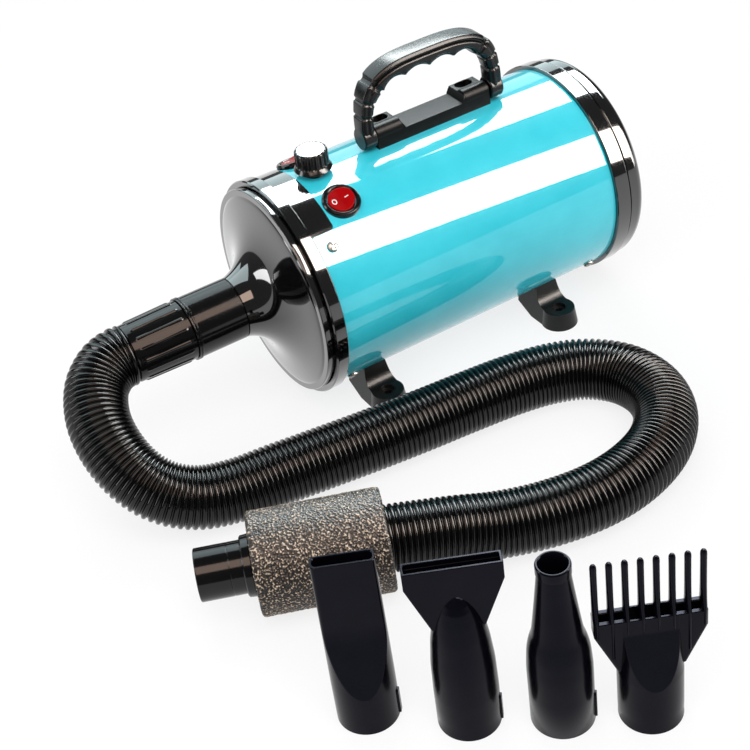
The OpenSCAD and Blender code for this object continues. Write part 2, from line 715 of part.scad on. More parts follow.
function hose_dir(s) =
  let (d = hose_point(min(s + 3, hose_l)) - hose_point(max(s - 3, 0))) d / norm(d);

hose_sides = 8;
hose_tail_r = cuff_bore_r - slide_gap - 0.1;
function hose_ring(s, r) = let (p = hose_point(s), d = hose_dir(s),
    side = cross(d, [0, 0, 1]) / norm(cross(d, [0, 0, 1])), up = cross(side, d))
  [for (k = [0:hose_sides - 1]) p + r * (cos(360 * k / hose_sides) * side + sin(360 * k / hose_sides) * up)];

// Closes a list of rings into a solid with flat ends
module tube_mesh(rings) {
  sides = len(rings[0]);
  last = len(rings) - 1;
  polyhedron(
    points = [for (ring = rings) each ring],
    faces = concat(
      [for (i = [0:last - 1], k = [0:sides - 1]) each quad(i * sides, (i + 1) * sides, k, sides)],
      [[for (k = [0:sides - 1]) k]],
      [[for (k = [sides - 1:-1:0]) last * sides + k]]));
}
function quad(lower, upper, k, sides) = let (next = (k + 1) % sides)
  [[lower + k, upper + next, lower + next], [lower + k, upper + k, upper + next]];

// Ribs: each has a crest and a groove, and the tail inside the cuff is plain
rib_pitch = (hose_l - tail_l) / hose_ribs;
outer_rings = concat(
  [hose_ring(0, hose_tail_r), hose_ring(tail_l + slide_gap, hose_tail_r)],
  [for (i = [0:hose_ribs - 1], half = [0, 1])
    hose_ring(tail_l + (i + 0.3 + 0.5 * half) * rib_pitch, hose_r - half * rib_depth)],
  [hose_ring(hose_l, hose_r - rib_depth)]);
bore_steps = 60;
bore_rings = [for (i = [0:bore_steps]) hose_ring(hose_l * i / bore_steps, hose_bore_r)];

module hose() {
  outer_n = len(outer_rings);
  bore_n = len(bore_rings);
  first_bore = outer_n * hose_sides;
  last_outer = (outer_n - 1) * hose_sides;
  last_bore = first_bore + (bore_n - 1) * hose_sides;
  color("#1c1c1e") polyhedron(
    points = concat([for (ring = outer_rings) each ring], [for (ring = bore_rings) each ring]),
    faces = concat(
      [for (i = [0:outer_n - 2], k = [0:hose_sides - 1])
        each quad(i * hose_sides, (i + 1) * hose_sides, k, hose_sides)],
      [for (i = [0:bore_n - 2], k = [0:hose_sides - 1])
        each quad(first_bore + (i + 1) * hose_sides, first_bore + i * hose_sides, k, hose_sides)],
      [for (k = [0:hose_sides - 1]) each quad(first_bore, 0, k, hose_sides)],
      [for (k = [0:hose_sides - 1]) each quad(last_outer, last_bore, k, hose_sides)]));
}

// Least distance between the skins of two stretches that are far apart along the hose
gap_step = 12;
gap_count = floor(hose_l / gap_step);
apart = ceil(4 * hose_r / gap_step);
gap_points = [for (i = [0:gap_count]) hose_point(i * gap_step)];
least_gap = min([for (i = [0:gap_count - apart], j = [i + apart:gap_count])
  norm(gap_points[i] - gap_points[j]) - 2 * hose_r]);
echo(hose_length = hose_l, least_gap = least_gap, rib_pitch = rib_pitch);

// Puts its children on the grip's axis, s along it from the hose's side
module in_grip(s) {
  translate(grip_back + grip_dir * s) rotate([0, 0, grip_turn]) rotate([0, 90, 0]) children();
}
bush_out_r = hose_r + 0.1;
foam_bore_r = hose_r + slide_gap;
bush_s = grip_hold + slide_gap;
collar_w = 6.5;
tube_end_s = foam_l + seat + collar_w + tube_l;
tube_bore_r = tube_r - 1.6;
tube_root_r = tube_r - seat;             // under the collar

module foam_grip() {
  edge = 3;
  color("#6b6863") in_grip(0) rotate_extrude() polygon([
    [foam_bore_r, 0], [foam_r - edge, 0], [foam_r, edge], [foam_r, foam_l - edge],
    [foam_r - edge, foam_l], [foam_bore_r, foam_l]]);
}

module end_tube() {
  ahead = tube_end_s - tube_l + slide_gap;
  color("#151517") in_grip(0) rotate_extrude() polygon([
    [tube_bore_r, bush_s], [bush_out_r, bush_s], [bush_out_r, foam_l - 3], [tube_root_r, foam_l - 3],
    [tube_root_r, ahead], [tube_r, ahead], [tube_r, tube_end_s - 1], [tube_r - 0.6, tube_end_s],
    [tube_bore_r, tube_end_s]]);
}

module grip_collar() {
  color("#1a1a1c") in_grip(foam_l + seat) rotate_extrude() polygon([
    [tube_root_r + seat / 2, 0], [tube_r + 2.6, 0], [tube_r + 3, 1], [tube_r + 3, collar_w - 1],
    [tube_r + 2.4, collar_w], [tube_root_r + seat / 2, collar_w]]);
}

// ---------- nozzles, standing on their sockets ----------

socket_r = tube_r + 0.1;
base_r = socket_r + nozzle_wall;
socket_l = 28;
nozzle_turn = -27;
nozzle_color = "#17171a";
nozzle_spots = [[-252, -316], [-205, -358], [-159, -391], [-115, -420]];

module nozzle_at(i) {
  color(nozzle_color) translate([nozzle_spots[i][0], nozzle_spots[i][1], 0])
    rotate([0, 0, nozzle_turn]) children();
}

// A flat slab with round ends, w wide and t thick, at height z
module slab(w, t, z, h = 0.5) {
  translate([0, 0, z]) linear_extrude(h) union() {
    square([w - t, t], center = true);
    for (side = [-1, 1]) translate([side * (w - t) / 2, 0]) circle(d = t, $fn = 24);
  }
}

flat_mouth_w = 38;
flat_mouth_t = 10.5;
flat_knee_t = 12;
flat_knee_z = flat_h - 55;               // where the taper from the round socket ends

module flat_nozzle() {
  nozzle_at(0) difference() {
    union() {
      cylinder(h = socket_l + 2, r = base_r);
      hull() {
        translate([0, 0, socket_l]) cylinder(h = 2, r = base_r, $fn = 48);
        slab(base_r * 2, flat_knee_t, flat_knee_z);
      }
      hull() {
        slab(base_r * 2, flat_knee_t, flat_knee_z);
        slab(flat_mouth_w, flat_mouth_t, flat_h - 0.5);
      }
    }
    translate([0, 0, -eps]) cylinder(h = socket_l + eps, r = socket_r);
    hull() {
      translate([0, 0, socket_l - eps]) cylinder(h = eps, r = socket_r - 1, $fn = 48);
      slab(flat_mouth_w - 1, flat_knee_t - 2 * nozzle_wall, flat_knee_z);
    }
    hull() {
      slab(flat_mouth_w - 1, flat_knee_t - 2 * nozzle_wall, flat_knee_z);
      slab(flat_mouth_w - 2 * nozzle_wall, flat_mouth_t - 2 * nozzle_wall, flat_h);
    }
  }
}

// The wide nozzle: a round body that ends in a bullet-shaped ridge over a fan
fan_z = wide_h - 45;
wide_mouth_t = 10.5;

module wide_nozzle() {
  nozzle_at(1) difference() {
    union() {
      cylinder(h = socket_l + 2, r = base_r);
      hull() {
        translate([0, 0, socket_l]) cylinder(h = 2, r = base_r, $fn = 48);
        translate([0, 0, fan_z - 12]) scale([1, 0.8, 1]) cylinder(h = 1, r = base_r - 2.5, $fn = 48);
        translate([0, 0, fan_z + 22]) scale([1, 0.9, 1]) sphere(r = 6, $fn = 24);
      }
      hull() {
        slab(2 * base_r - 9, wide_mouth_t + 1, fan_z - 6);
        slab(wide_mouth_w, wide_mouth_t, wide_h - 3);
      }
      slab(wide_mouth_w, wide_mouth_t, wide_h - 3, 3);
    }
    translate([0, 0, -eps]) cylinder(h = socket_l + eps, r = socket_r);
    hull() {
      translate([0, 0, socket_l - eps]) cylinder(h = eps, r = socket_r - 1, $fn = 48);
      slab(2 * base_r - 14, wide_mouth_t - 3, fan_z);
    }
    hull() {
      slab(2 * base_r - 14, wide_mouth_t - 3, fan_z);
      slab(wide_mouth_w - 2 * nozzle_wall, wide_mouth_t - 2 * nozzle_wall, wide_h);
    }
  }
}

// The round nozzle: a cone with a soft shoulder
round_mouth_r = 9.7;
round_waist_r = 15.8;
round_waist_z = round_h - 55;

module round_nozzle() {
  outside = curve([base_r, socket_l], [base_r, socket_l + 12],
    [round_waist_r + 2.5, round_waist_z - 10], [round_waist_r, round_waist_z], 8);
  nozzle_at(2) rotate_extrude() polygon(concat(
    [[socket_r, 0], [base_r, 0]], outside,
    [[round_mouth_r, round_h - 7], [round_mouth_r + 0.8, round_h - 5.5], [round_mouth_r + 0.8, round_h],
      [round_mouth_r - nozzle_wall, round_h], [round_mouth_r - nozzle_wall, round_h - 7],
      [round_waist_r - nozzle_wall, round_waist_z], [socket_r - 1, socket_l], [socket_r, socket_l]]));
}

// The comb nozzle: a fan that ends in round teeth, with an air slot at their roots
comb_w = 66;
tooth_r = 1.8;
comb_t = 13;
tooth_pitch = (comb_w - 2 * tooth_r) / (teeth - 1);
comb_top = comb_h - tooth_l;

module comb_nozzle() {
  nozzle_at(3) difference() {
    union() {
      cylinder(h = socket_l + 2, r = base_r);
      hull() {
        translate([0, 0, socket_l]) cylinder(h = 2, r = base_r, $fn = 48);
        slab(comb_w, comb_t, comb_top - 12);
      }
      slab(comb_w, comb_t, comb_top - 12, 12);
      for (i = [0:teeth - 1]) translate([tooth_r - comb_w / 2 + i * tooth_pitch, 0, comb_top - 6])
        rotate_extrude($fn = 24) polygon([
          [0, 0], [tooth_r, 0], [tooth_r - 0.2, tooth_l + 4.6], [tooth_r - 0.6, tooth_l + 5.5],
          [tooth_r - 1.1, tooth_l + 6], [0, tooth_l + 6]]);
    }
    translate([0, 0, -eps]) cylinder(h = socket_l + eps, r = socket_r);
    hull() {
      translate([0, 0, socket_l - eps]) cylinder(h = eps, r = socket_r - 1, $fn = 48);
      slab(comb_w - 8, comb_t - 5, comb_top - 16);
    }
    for (i = [0:teeth - 2])
      translate([tooth_r - comb_w / 2 + (i + 0.5) * tooth_pitch, 0, comb_top - 17])
        cylinder(h = 20, r = 2.1, $fn = 24);
  }
}

// ---------- inside the barrel ----------

motor_r = 42;
motor_x0 = 3;
motor_x1 = 71;
can_wall = 1.5;
can_vent_r = 8;
fan_r = 64;
fan_w = 36;
fan_eye_r = 24;
fan_vent_r = 6;
fan_x0 = motor_x1 + seat;
fan_x1 = fan_x0 + fan_w;
rotor_shaft_r = 4;
bearing_r = 11;
bearing_l = 8;
bearing_x = [motor_x0 + 2, motor_x1 - 2 - bearing_l];

module motor_can() {
  color("#8f9498") difference() {
    tube_x(motor_x0, motor_x1, motor_r, 0);
    tube_x(motor_x0 + can_wall, motor_x1 - can_wall, motor_r - can_wall, bearing_r + 3);
    tube_x(bearing_x[0], bearing_x[1] + bearing_l, bearing_r + seat / 2, 0);
    tube_x(bearing_x[0] + bearing_l, bearing_x[1], bearing_r + 3 + eps, 0);
    tube_x(motor_x0 - 1, motor_x1 + 1, rotor_shaft_r + 1, 0);
    for (a = [0:60:300]) translate([motor_x0 - 1, 0, axis_h]) rotate([a, 0, 0])
      translate([0, 0, motor_r * 2 / 3]) bar_x(0, can_wall + 2, can_vent_r);
  }
}

module fan_cover() {
  color("#a9adb1") difference() {
    tube_x(fan_x0, fan_x1, fan_r, rotor_shaft_r + 3);
    tube_x(fan_x0 + can_wall, fan_x1 - can_wall, fan_r - can_wall, 0);
    tube_x(fan_x1 - 5, fan_x1 + 1, fan_eye_r, 0);
    for (a = [0:45:315]) translate([fan_x0 - 1, 0, axis_h]) rotate([a, 0, 0])
      translate([0, 0, fan_r - fan_vent_r - 4]) bar_x(0, can_wall + 2, fan_vent_r);
  }
}

blades = 9;
blade_r = 40;
hub_r = 9;
impeller_r = fan_r - 5;
impeller_x0 = fan_x0 + 7;
impeller_x1 = fan_x1 - 6;

// A centrifugal fan: a back plate, a hub and swept-back blades
module impeller() {
  color("#c3c6c9") difference() {
    union() {
      tube_x(impeller_x0, impeller_x0 + 1.5, impeller_r, 0);
      tube_x(impeller_x0, impeller_x1, hub_r, 0);
      for (i = [0:blades - 1]) translate([impeller_x0 + 1, 0, axis_h]) rotate([360 * i / blades, 0, 0])
        rotate([0, 90, 0]) linear_extrude(impeller_x1 - impeller_x0 - 1.5) intersection() {
          difference() {
            translate([blade_r * 0.75, blade_r * 0.62]) circle(r = blade_r);
            translate([blade_r * 0.75, blade_r * 0.62]) circle(r = blade_r - 1.2);
            circle(r = hub_r - 1.5);
          }
          translate([1, -impeller_r]) square([impeller_r, impeller_r]);
          circle(r = impeller_r - 1);
        }
    }
    tube_x(impeller_x0 - 1, impeller_x1 + 1, rotor_shaft_r + 0.02, 0);
  }
}

module motor_shaft() {
  color("#cfd1d3") tube_x(motor_x0 + can_wall + 0.4, impeller_x1 + 2, rotor_shaft_r, 0);
}

armature_r = 22;
armature_l = 34;
armature_x0 = bearing_x[0] + bearing_l + 2;
armature_x1 = armature_x0 + armature_l;

module armature() {
  slots = 12;
  color("#9c5a2b") difference() {
    tube_x(armature_x0, armature_x1, armature_r, rotor_shaft_r + 0.02);
    for (i = [0:slots - 1]) translate([armature_x0 - 1, 0, axis_h]) rotate([360 * i / slots, 0, 0])
      translate([0, -1, armature_r - 5]) cube([armature_l + 2, 2, 8]);
  }
}

commutator_r = 10;

module commutator() {
  color("#b9773a") tube_x(armature_x1 + 0.5, bearing_x[1] - 0.5, commutator_r, rotor_shaft_r + 0.02);
}

module stator() {
  color("#5c6166") tube_x(armature_x0 + 1, armature_x1 - 1, motor_r - can_wall - seat, armature_r + 0.5);
}

module motor_bearings() {
  color("#d4d6d8") for (x = bearing_x)
    tube_x(x + seat, x + bearing_l - seat, bearing_r, rotor_shaft_r + run);
}

module motor_brushes() {
  x = (armature_x1 + bearing_x[1]) / 2;
  color("#3b3b3d") for (a = [90, -90]) translate([x, 0, axis_h]) rotate([a, 0, 0])
    translate([-1.5, -3, commutator_r + 0.3]) cube([3, 6, motor_r - can_wall - commutator_r - 0.8]);
}

module motor_mounts() {
  color("#232325") {
    tube_x(motor_x0 + 12, motor_x0 + 24, liner_r - seat, motor_r + seat / 2);
    tube_x(fan_x0 + 8, fan_x0 + 20, liner_r - seat, fan_r + seat / 2);
  }
}

// Room in the sound liner for a screw or the gland's nut
module liner_pocket(r) {
  translate([0, 0, -barrel_wall - liner_t - 2]) cylinder(h = liner_t + 3, r = r);
}

module sound_liner() {
  color("#4a4c50") difference() {
    tube_x(motor_x0 + 8, barrel_x1 - spigot_l - 4, bore_r - seat, liner_r);
    translate([handle_screw_x[1], handle_screw_y, axis_h + bore_r - 12]) cylinder(h = 14, r = screw_r + 1);
    for (side = [-1, 1]) on_barrel(foot_x[1], 180 - side * foot_screw_angle) liner_pocket(screw_head_r + 1);
    on_barrel(gland_x, gland_angle) liner_pocket(gland_nut_r + 1);
  }
}

shield_r = 50;
shield_x0 = barrel_x0 + 16;
shield_x1 = motor_x0 - 18;

module heat_shield() {
  color("#c9b98c") union() {
    tube_x(shield_x0, shield_x1, shield_r, shield_r - 1);
    difference() {
      tube_x(shield_x0, shield_x0 + 1.5, spigot_r - spigot_t - seat, shield_r - 1);
      for (a = [0:45:315]) translate([shield_x0 - 1, 0, axis_h]) rotate([a, 0, 0])
        translate([0, 0, 63]) bar_x(0, 4, 9);
    }
  }
}

coil_r = 40;
wire_r = 1.2;
coil_turns = 9;
coil_steps = 14;     // straight pieces in one turn of the wire
board_t = 1;

// Two crossed boards, wide at both ends and narrow where the wire is wound
module heater_frame() {
  wide = shield_r - 1 - seat;
  narrow = coil_r * cos(180 / coil_steps) - wire_r - slide_gap;
  color("#d8cba2") for (a = [0, 90]) translate([0, 0, axis_h]) rotate([a, 0, 0]) difference() {
    translate([shield_x0 + 2, -board_t / 2, -wide]) cube([shield_x1 - shield_x0 - 4, board_t, 2 * wide]);
    for (side = [-1, 1]) translate([shield_x0 + 10, -2, side > 0 ? narrow : -narrow - 20])
      cube([shield_x1 - shield_x0 - 20, 4, 20]);
  }
}

module heater_coil() {
  length = shield_x1 - shield_x0 - 26;
  rings = [for (i = [0:coil_turns * coil_steps]) let (
      a = 360 * i / coil_steps, x = shield_x0 + 13 + length * i / (coil_turns * coil_steps))
    [for (k = [0:5]) let (b = 60 * k, r = coil_r + wire_r * cos(b))
      [x + wire_r * sin(b), r * cos(a), r * sin(a)]]];
  color("#8a4a2c") translate([0, 0, axis_h]) tube_mesh(rings);
}

module thermal_cutout() {
  color("#e8e4da") translate([shield_x1 - 8, board_t / 2 + seat, axis_h + 12])
    rotate([-90, 0, 0]) cylinder(h = 4, r = 5, $fn = 48);
}

module control_board() {
  top = -barrel_wall - seat - 1.3 - pot_d - seat;
  color("#1f6b3a") knob_place() translate([-pot_r, -13, top - 1.6]) cube([44, 24, 1.6]);
}

barrel();
front_ring();
outlet_bell();
rear_ring();
intake_cover();
intake_filter();
label_plate();
handle_base();
handle_grip();
handle_pins();
handle_screws();
speed_knob();
knob_cap();
knob_collar();
potentiometer();
pot_shaft();
heat_bezel();
heat_rocker();
power_bezel();
power_rocker();
foot_front_near();
foot_front_far();
foot_rear_near();
foot_rear_far();
foot_screws();
barrel_screws();
cord_gland();
cuff_connector();
cuff_swivel();
hose();
foam_grip();
grip_collar();
end_tube();
flat_nozzle();
wide_nozzle();
round_nozzle();
comb_nozzle();
motor_can();
fan_cover();
impeller();
motor_shaft();
armature();
commutator();
stator();
motor_bearings();
motor_brushes();
motor_mounts();
sound_liner();
heat_shield();
heater_frame();
heater_coil();
thermal_cutout();
control_board();
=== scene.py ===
import bpy
import bmesh
import math
from bisect import bisect_right
from mathutils import Matrix, Vector, noise


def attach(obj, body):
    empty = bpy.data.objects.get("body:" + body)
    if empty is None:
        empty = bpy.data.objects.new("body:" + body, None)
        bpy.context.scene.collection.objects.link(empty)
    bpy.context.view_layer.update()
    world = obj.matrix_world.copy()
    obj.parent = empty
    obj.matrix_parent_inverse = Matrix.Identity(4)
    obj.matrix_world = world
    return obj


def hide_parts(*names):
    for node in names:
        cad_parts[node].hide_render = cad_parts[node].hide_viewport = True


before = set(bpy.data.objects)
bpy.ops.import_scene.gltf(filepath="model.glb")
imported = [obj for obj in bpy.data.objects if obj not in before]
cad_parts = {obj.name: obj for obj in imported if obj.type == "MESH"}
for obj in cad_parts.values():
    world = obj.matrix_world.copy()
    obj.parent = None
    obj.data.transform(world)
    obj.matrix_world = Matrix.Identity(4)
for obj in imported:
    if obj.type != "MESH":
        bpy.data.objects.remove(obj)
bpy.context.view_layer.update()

MM = 0.001
AXIS_H = 92.0
BARREL_R = 82.5


def deg(a):
    return math.radians(a)


def put(name, data):
    """A new object of this data, in the scene."""
    obj = bpy.data.objects.new(name, data)
    bpy.context.scene.collection.objects.link(obj)
    return obj


# ---------- camera, fitted to the photo ----------

AZIMUTH, ELEVATION, ROLL = deg(-26.568), deg(37.471), deg(-8.5)
CAMERA_AT = (-0.5170, -0.9226, 0.7641)
SENSOR, LENS = 36, 76.8


def make_camera():
    a, e = AZIMUTH, ELEVATION
    back = Vector((math.sin(a) * math.cos(e), -math.cos(a) * math.cos(e), math.sin(e)))
    right = Vector((math.cos(a), math.sin(a), 0))
    up = back.cross(right)
    c, s = math.cos(ROLL), math.sin(ROLL)
    turned = Matrix((c * right + s * up, c * up - s * right, back)).transposed().to_4x4()
    turned.translation = CAMERA_AT
    data = bpy.data.cameras.new("camera")
    data.sensor_width, data.lens = SENSOR, LENS
    camera = put("camera", data)
    camera.matrix_world = turned
    bpy.context.scene.camera = camera


make_camera()

# ---------- the hose's route, in millimetres as in the CAD ----------

CUFF_X = -250.7  # the cuff's mouth
HOSE_IN = 46.0  # how far the line runs on inside the cuff, and inside the grip
HOSE_FROM = 26.0  # where on the line the hose itself starts, inside the cuff
ROUTE = [(-251, 0, 92), (-260, 0, 92), (-272, -4, 90), (-285, -15, 84), (-294, -35, 74),
         (-295, -56, 61), (-289, -75, 47), (-276, -90, 35), (-256, -101, 27), (-230, -107, 23.5),
         (-201, -111, 23.5), (-169, -116, 23.5), (-129, -122, 23.5), (-89, -127, 23.5),
         (-49, -131, 23.5), (-11, -136, 23.5), (19, -144, 23.5), (43, -158, 23.5), (59, -180, 23.5),
         (62, -208, 23.5), (51, -235, 23.5), (28, -256, 23.5), (-3, -268, 23.5), (-37, -271, 23.5),
         (-73, -265, 23.5), (-107, -254, 25), (-139, -243, 31), (-178, -228, 35.5)]
TURN = 157.0  # where the grip points, in degrees about z
GRIP_DIR = Vector((math.cos(deg(TURN)), math.sin(deg(TURN)), 0))
GRIP_BACK = Vector(ROUTE[-1])


def spline(points, steps):
    """A smooth line through the points, with so many steps from one to the next."""
    out = []
    for i in range(len(points) - 1):
        a, b, c, d = (Vector(points[j]) for j in (max(i - 1, 0), i, i + 1, min(i + 2, len(points) - 1)))
        for k in range(steps):
            t = k / steps
            out.append(0.5 * (2 * b + (c - a) * t + (2 * a - 5 * b + 4 * c - d) * t * t
                              + (3 * b - a - 3 * c + d) * t * t * t))
    return out + [Vector(points[-1])]


def hose_line():
    start = Vector((CUFF_X, 0, AXIS_H))
    shift = start - Vector(ROUTE[0])
    route = [Vector(p) + (shift * (4 - i) / 4 if i < 4 else Vector()) for i, p in enumerate(ROUTE[:-1])]
    seat = [start + Vector((HOSE_IN, 0, 0)), start + Vector((HOSE_IN / 2, 0, 0))]
    return spline(seat + route + [GRIP_BACK + GRIP_DIR * s for s in (0, HOSE_IN / 2, HOSE_IN)], 16)


class Line:
    """A smooth line that can be read at any length along it."""

    def __init__(self, points):
        self.p = points
        self.s = [0.0]
        for a, b in zip(points, points[1:]):
            self.s.append(self.s[-1] + (b - a).length)
        self.length = self.s[-1]

    def at(self, s):
        s = min(max(s, 0), self.length)
        i = min(bisect_right(self.s, s), len(self.s) - 1)
        a, b = self.s[i - 1], self.s[i]
        return self.p[i - 1].lerp(self.p[i], (s - a) / max(b - a, 1e-9))

    def heading(self, s, reach=3):
        return (self.at(s + reach) - self.at(s - reach)).normalized()


# ---------- mesh helpers, all in millimetres ----------

def place(x, y, z, turn=None):
    return Matrix.Translation((x, y, z)) @ (turn or Matrix.Identity(4))


def rot(angle, axis):
    return Matrix.Rotation(deg(angle), 4, axis)


BARREL = place(0, 0, AXIS_H, rot(90, "Y"))  # turns a profile's z into the barrel's x
GRIP = place(*GRIP_BACK, rot(TURN, "Z") @ rot(90, "Y"))  # and here into the way the grip points


def on_barrel(x, angle, lift=0.0):
    """A place on the barrel's skin, its z pointing outward; angle 0 is the top."""
    return place(x, 0, AXIS_H) @ rot(angle, "X") @ place(0, 0, BARREL_R + lift)


def around(n):
    """The cosine and sine at n even steps round a circle."""
    return [(math.cos(2 * math.pi * k / n), math.sin(2 * math.pi * k / n)) for k in range(n)]


def hoop(r, z, n):
    return [(r * c, r * s, z) for c, s in around(n)]


def swing(k, n, count):
    """Falls from 1 to 0 and back, count times round n steps."""
    return abs((k * count / n) % 1 - 0.5) * 2


class Shape:
    """Vertices and faces in millimetres that become one object."""

    def __init__(self):
        self.v, self.f = [], []

    def add(self, verts, faces, matrix=None):
        base = len(self.v)
        m = matrix or Matrix.Identity(4)
        self.v += [m @ Vector(p) for p in verts]
        self.f += [[base + i for i in f] for f in faces]
        return self

    def rings(self, rings, matrix=None, caps=True, loop=False):
        """Faces between each ring and the next; loop joins the last to the first."""
        n, count, faces = len(rings[0]), len(rings), []
        for i in range(count if loop else count - 1):
            for k in range(n):
                a, b = i * n, ((i + 1) % count) * n
                faces.append([a + k, a + (k + 1) % n, b + (k + 1) % n, b + k])
        if caps and not loop:
            faces.append(list(range(n))[::-1])
            faces.append([(count - 1) * n + k for k in range(n)])
        return self.add([p for r in rings for p in r], faces, matrix)

    def lathe(self, profile, matrix, segs, steps=4):
        """A closed profile of (radius, z[, fillet]) turned about z."""
        pts = filleted(profile, steps)
        return self.rings([[(r * c, r * s, z) for r, z in pts] for c, s in around(segs)], matrix, loop=True)

    def block(self, outline, z0, z1, matrix, soft=0.0):
        """An outline of (x, y) raised from z0 to z1, its upper edge rounded by soft."""
        rings = [[(x, y, z0) for x, y in outline]]
        if soft:
            for k in range(4):
                a = math.pi / 2 * k / 3
                inset = soft * (1 - math.cos(a))
                rings.append([(x, y, z1 - soft + soft * math.sin(a)) for x, y in inward(outline, inset)])
        else:
            rings.append([(x, y, z1) for x, y in outline])
        return self.rings(rings, matrix)

    def mesh(self, name, clean=True):
        mesh = bpy.data.meshes.new(name)
        mesh.from_pydata([p * MM for p in self.v], [], self.f)
        bm = bmesh.new()
        bm.from_mesh(mesh)
        if clean:
            bmesh.ops.remove_doubles(bm, verts=bm.verts, dist=1e-6)
            bmesh.ops.dissolve_degenerate(bm, edges=bm.edges, dist=1e-7)
        bmesh.ops.recalc_face_normals(bm, faces=bm.faces)
        bm.to_mesh(mesh)
        bm.free()
        return mesh

    def piece(self, name, material, node, sharp=38, weighted=True, body="blower"):
        """One piece of the scene that rides body and stands for node."""
        mesh = self.mesh(name)
        mesh.polygons.foreach_set("use_smooth", [True] * len(mesh.polygons))
        mesh.set_sharp_from_angle(angle=deg(sharp))
        obj = put(name, mesh)
        mesh.materials.append(material)
        if weighted:
            obj.modifiers.new("even_shading", "WEIGHTED_NORMAL").keep_sharp = True
        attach(obj, body)
        if node:
            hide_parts(node)
        return obj


def filleted(profile, steps):
    """The profile's points, with a curve for each that has a fillet."""
    out, n = [], len(profile)
    for i, p in enumerate(profile):
        r = p[2] if len(p) > 2 else 0
        b = Vector(p[:2])
        if not r:
            out.append(tuple(b))
            continue
        a, c = Vector(profile[i - 1][:2]), Vector(profile[(i + 1) % n][:2])
        u, v = (a - b).normalized(), (c - b).normalized()
        half = u.angle(v) / 2
        d = min(r / math.tan(half), 0.48 * (a - b).length, 0.48 * (c - b).length)
        for k in range(steps + 1):
            t = k / steps
            q = (1 - t) ** 2 * (b + u * d) + 2 * t * (1 - t) * b + t * t * (b + v * d)
            out.append(tuple(q))
    return out


def inward(outline, d):
    """The outline moved in by d."""
    n, out = len(outline), []
    area = sum(outline[i - 1][0] * outline[i][1] - outline[i][0] * outline[i - 1][1] for i in range(n))
    side = 1 if area > 0 else -1
    for i in range(n):
        a, b, c = (Vector(outline[j % n]) for j in (i - 1, i, i + 1))
        u, v = (b - a).normalized(), (c - b).normalized()
        m = Vector((-u.y - v.y, u.x + v.x)) * side
        m.normalize()
        out.append(tuple(b + m * d / max(0.5, m.dot(Vector((-u.y, u.x)) * side))))
    return out


def rounded_box(x0, x1, y0, y1, radii, steps):
    """A rectangle's outline; its corners' radii go round from (x1, y1)."""
    out = []
    for cx, cy, sx, sy, r, a0 in zip((x1, x0, x0, x1), (y1, y1, y0, y0), (1, -1, -1, 1), (1, 1, -1, -1),
                                     radii, (0, 90, 180, 270)):
        for k in range(steps + 1):
            a = deg(a0 + 90 * k / steps)
            out.append((cx - sx * r + r * math.cos(a), cy - sy * r + r * math.sin(a)))
    return out


def bezier(a, b, c, d, steps):
    a, b, c, d = map(Vector, (a, b, c, d))
    return [tuple((1 - t) ** 3 * a + 3 * (1 - t) ** 2 * t * b + 3 * (1 - t) * t * t * c + t ** 3 * d)
            for t in (i / steps for i in range(steps + 1))]


def smooth(t):
    t = min(max(t, 0.0), 1.0)
    return t * t * (3 - 2 * t)


def mix(a, b, t):
    return a + (b - a) * t


# ---------- materials ----------

def srgb(r, g, b):
    return tuple((v / 255 / 12.92) if v / 255 <= 0.04045 else ((v / 255 + 0.055) / 1.055) ** 2.4
                 for v in (r, g, b)) + (1.0,)


def add_node(tree, kind, **values):
    """A node; each value goes to its socket of that name, or else to its own setting."""
    n = tree.nodes.new("ShaderNode" + kind)
    for k, v in values.items():
        socket = k.replace("_", " ")
        if socket in n.inputs:
            n.inputs[socket].default_value = v
        else:
            setattr(n, k, v)
    return n


class Look:
    """A material round a Principled shader."""

    def __init__(self, name, **sockets):
        self.m = bpy.data.materials.new(name)
        self.m.use_nodes = True
        self.t = self.m.node_tree
        self.p = self.t.nodes["Principled BSDF"]
        for k, v in sockets.items():
            self.p.inputs[k.replace("_", " ")].default_value = v
        self.coord = self.node("TexCoord").outputs["Object"]

    def node(self, kind, **values):
        return add_node(self.t, kind, **values)

    def link(self, a, b):
        self.t.links.new(a, b)

    def noise(self, scale, detail=3.0):
        n = self.node("TexNoise", Scale=scale, Detail=detail, Roughness=0.55)
        self.link(self.coord, n.inputs["Vector"])
        return n.outputs["Fac"]

    def colour(self, fac, *stops):
        r = self.node("ValToRGB")
        steps = r.color_ramp.elements
        steps[0].position, steps[0].color = stops[0]
        steps[1].position, steps[1].color = stops[-1]
        for at, colour in stops[1:-1]:
            steps.new(at).color = colour
        self.link(fac, r.inputs["Fac"])
        self.link(r.outputs["Color"], self.p.inputs["Base Color"])

    def rough(self, fac, lo, hi):
        m = self.node("MapRange", To_Min=lo, To_Max=hi)
        self.link(fac, m.inputs["Value"])
        self.link(m.outputs["Result"], self.p.inputs["Roughness"])

    def bump(self, fac, strength, distance):
        b = self.node("Bump", Strength=strength, Distance=distance)
        self.link(fac, b.inputs["Height"])
        self.link(b.outputs["Normal"], self.p.inputs["Normal"])


def plain(name, low, high, rough, scale, grain=0, grain_depth=0.0, spec=0.5, **sockets):
    """A moulded or painted surface: faint cloudy colour, uneven gloss and a fine grain."""
    k = Look(name, Specular_IOR_Level=spec, **sockets)
    k.colour(k.noise(scale), (0.3, srgb(*low)), (0.7, srgb(*high)))
    k.rough(k.noise(scale * 2.3, 4), rough[0], rough[1])
    if grain:
        k.bump(k.noise(grain, 2), grain_depth, 0.0004)
    return k.m


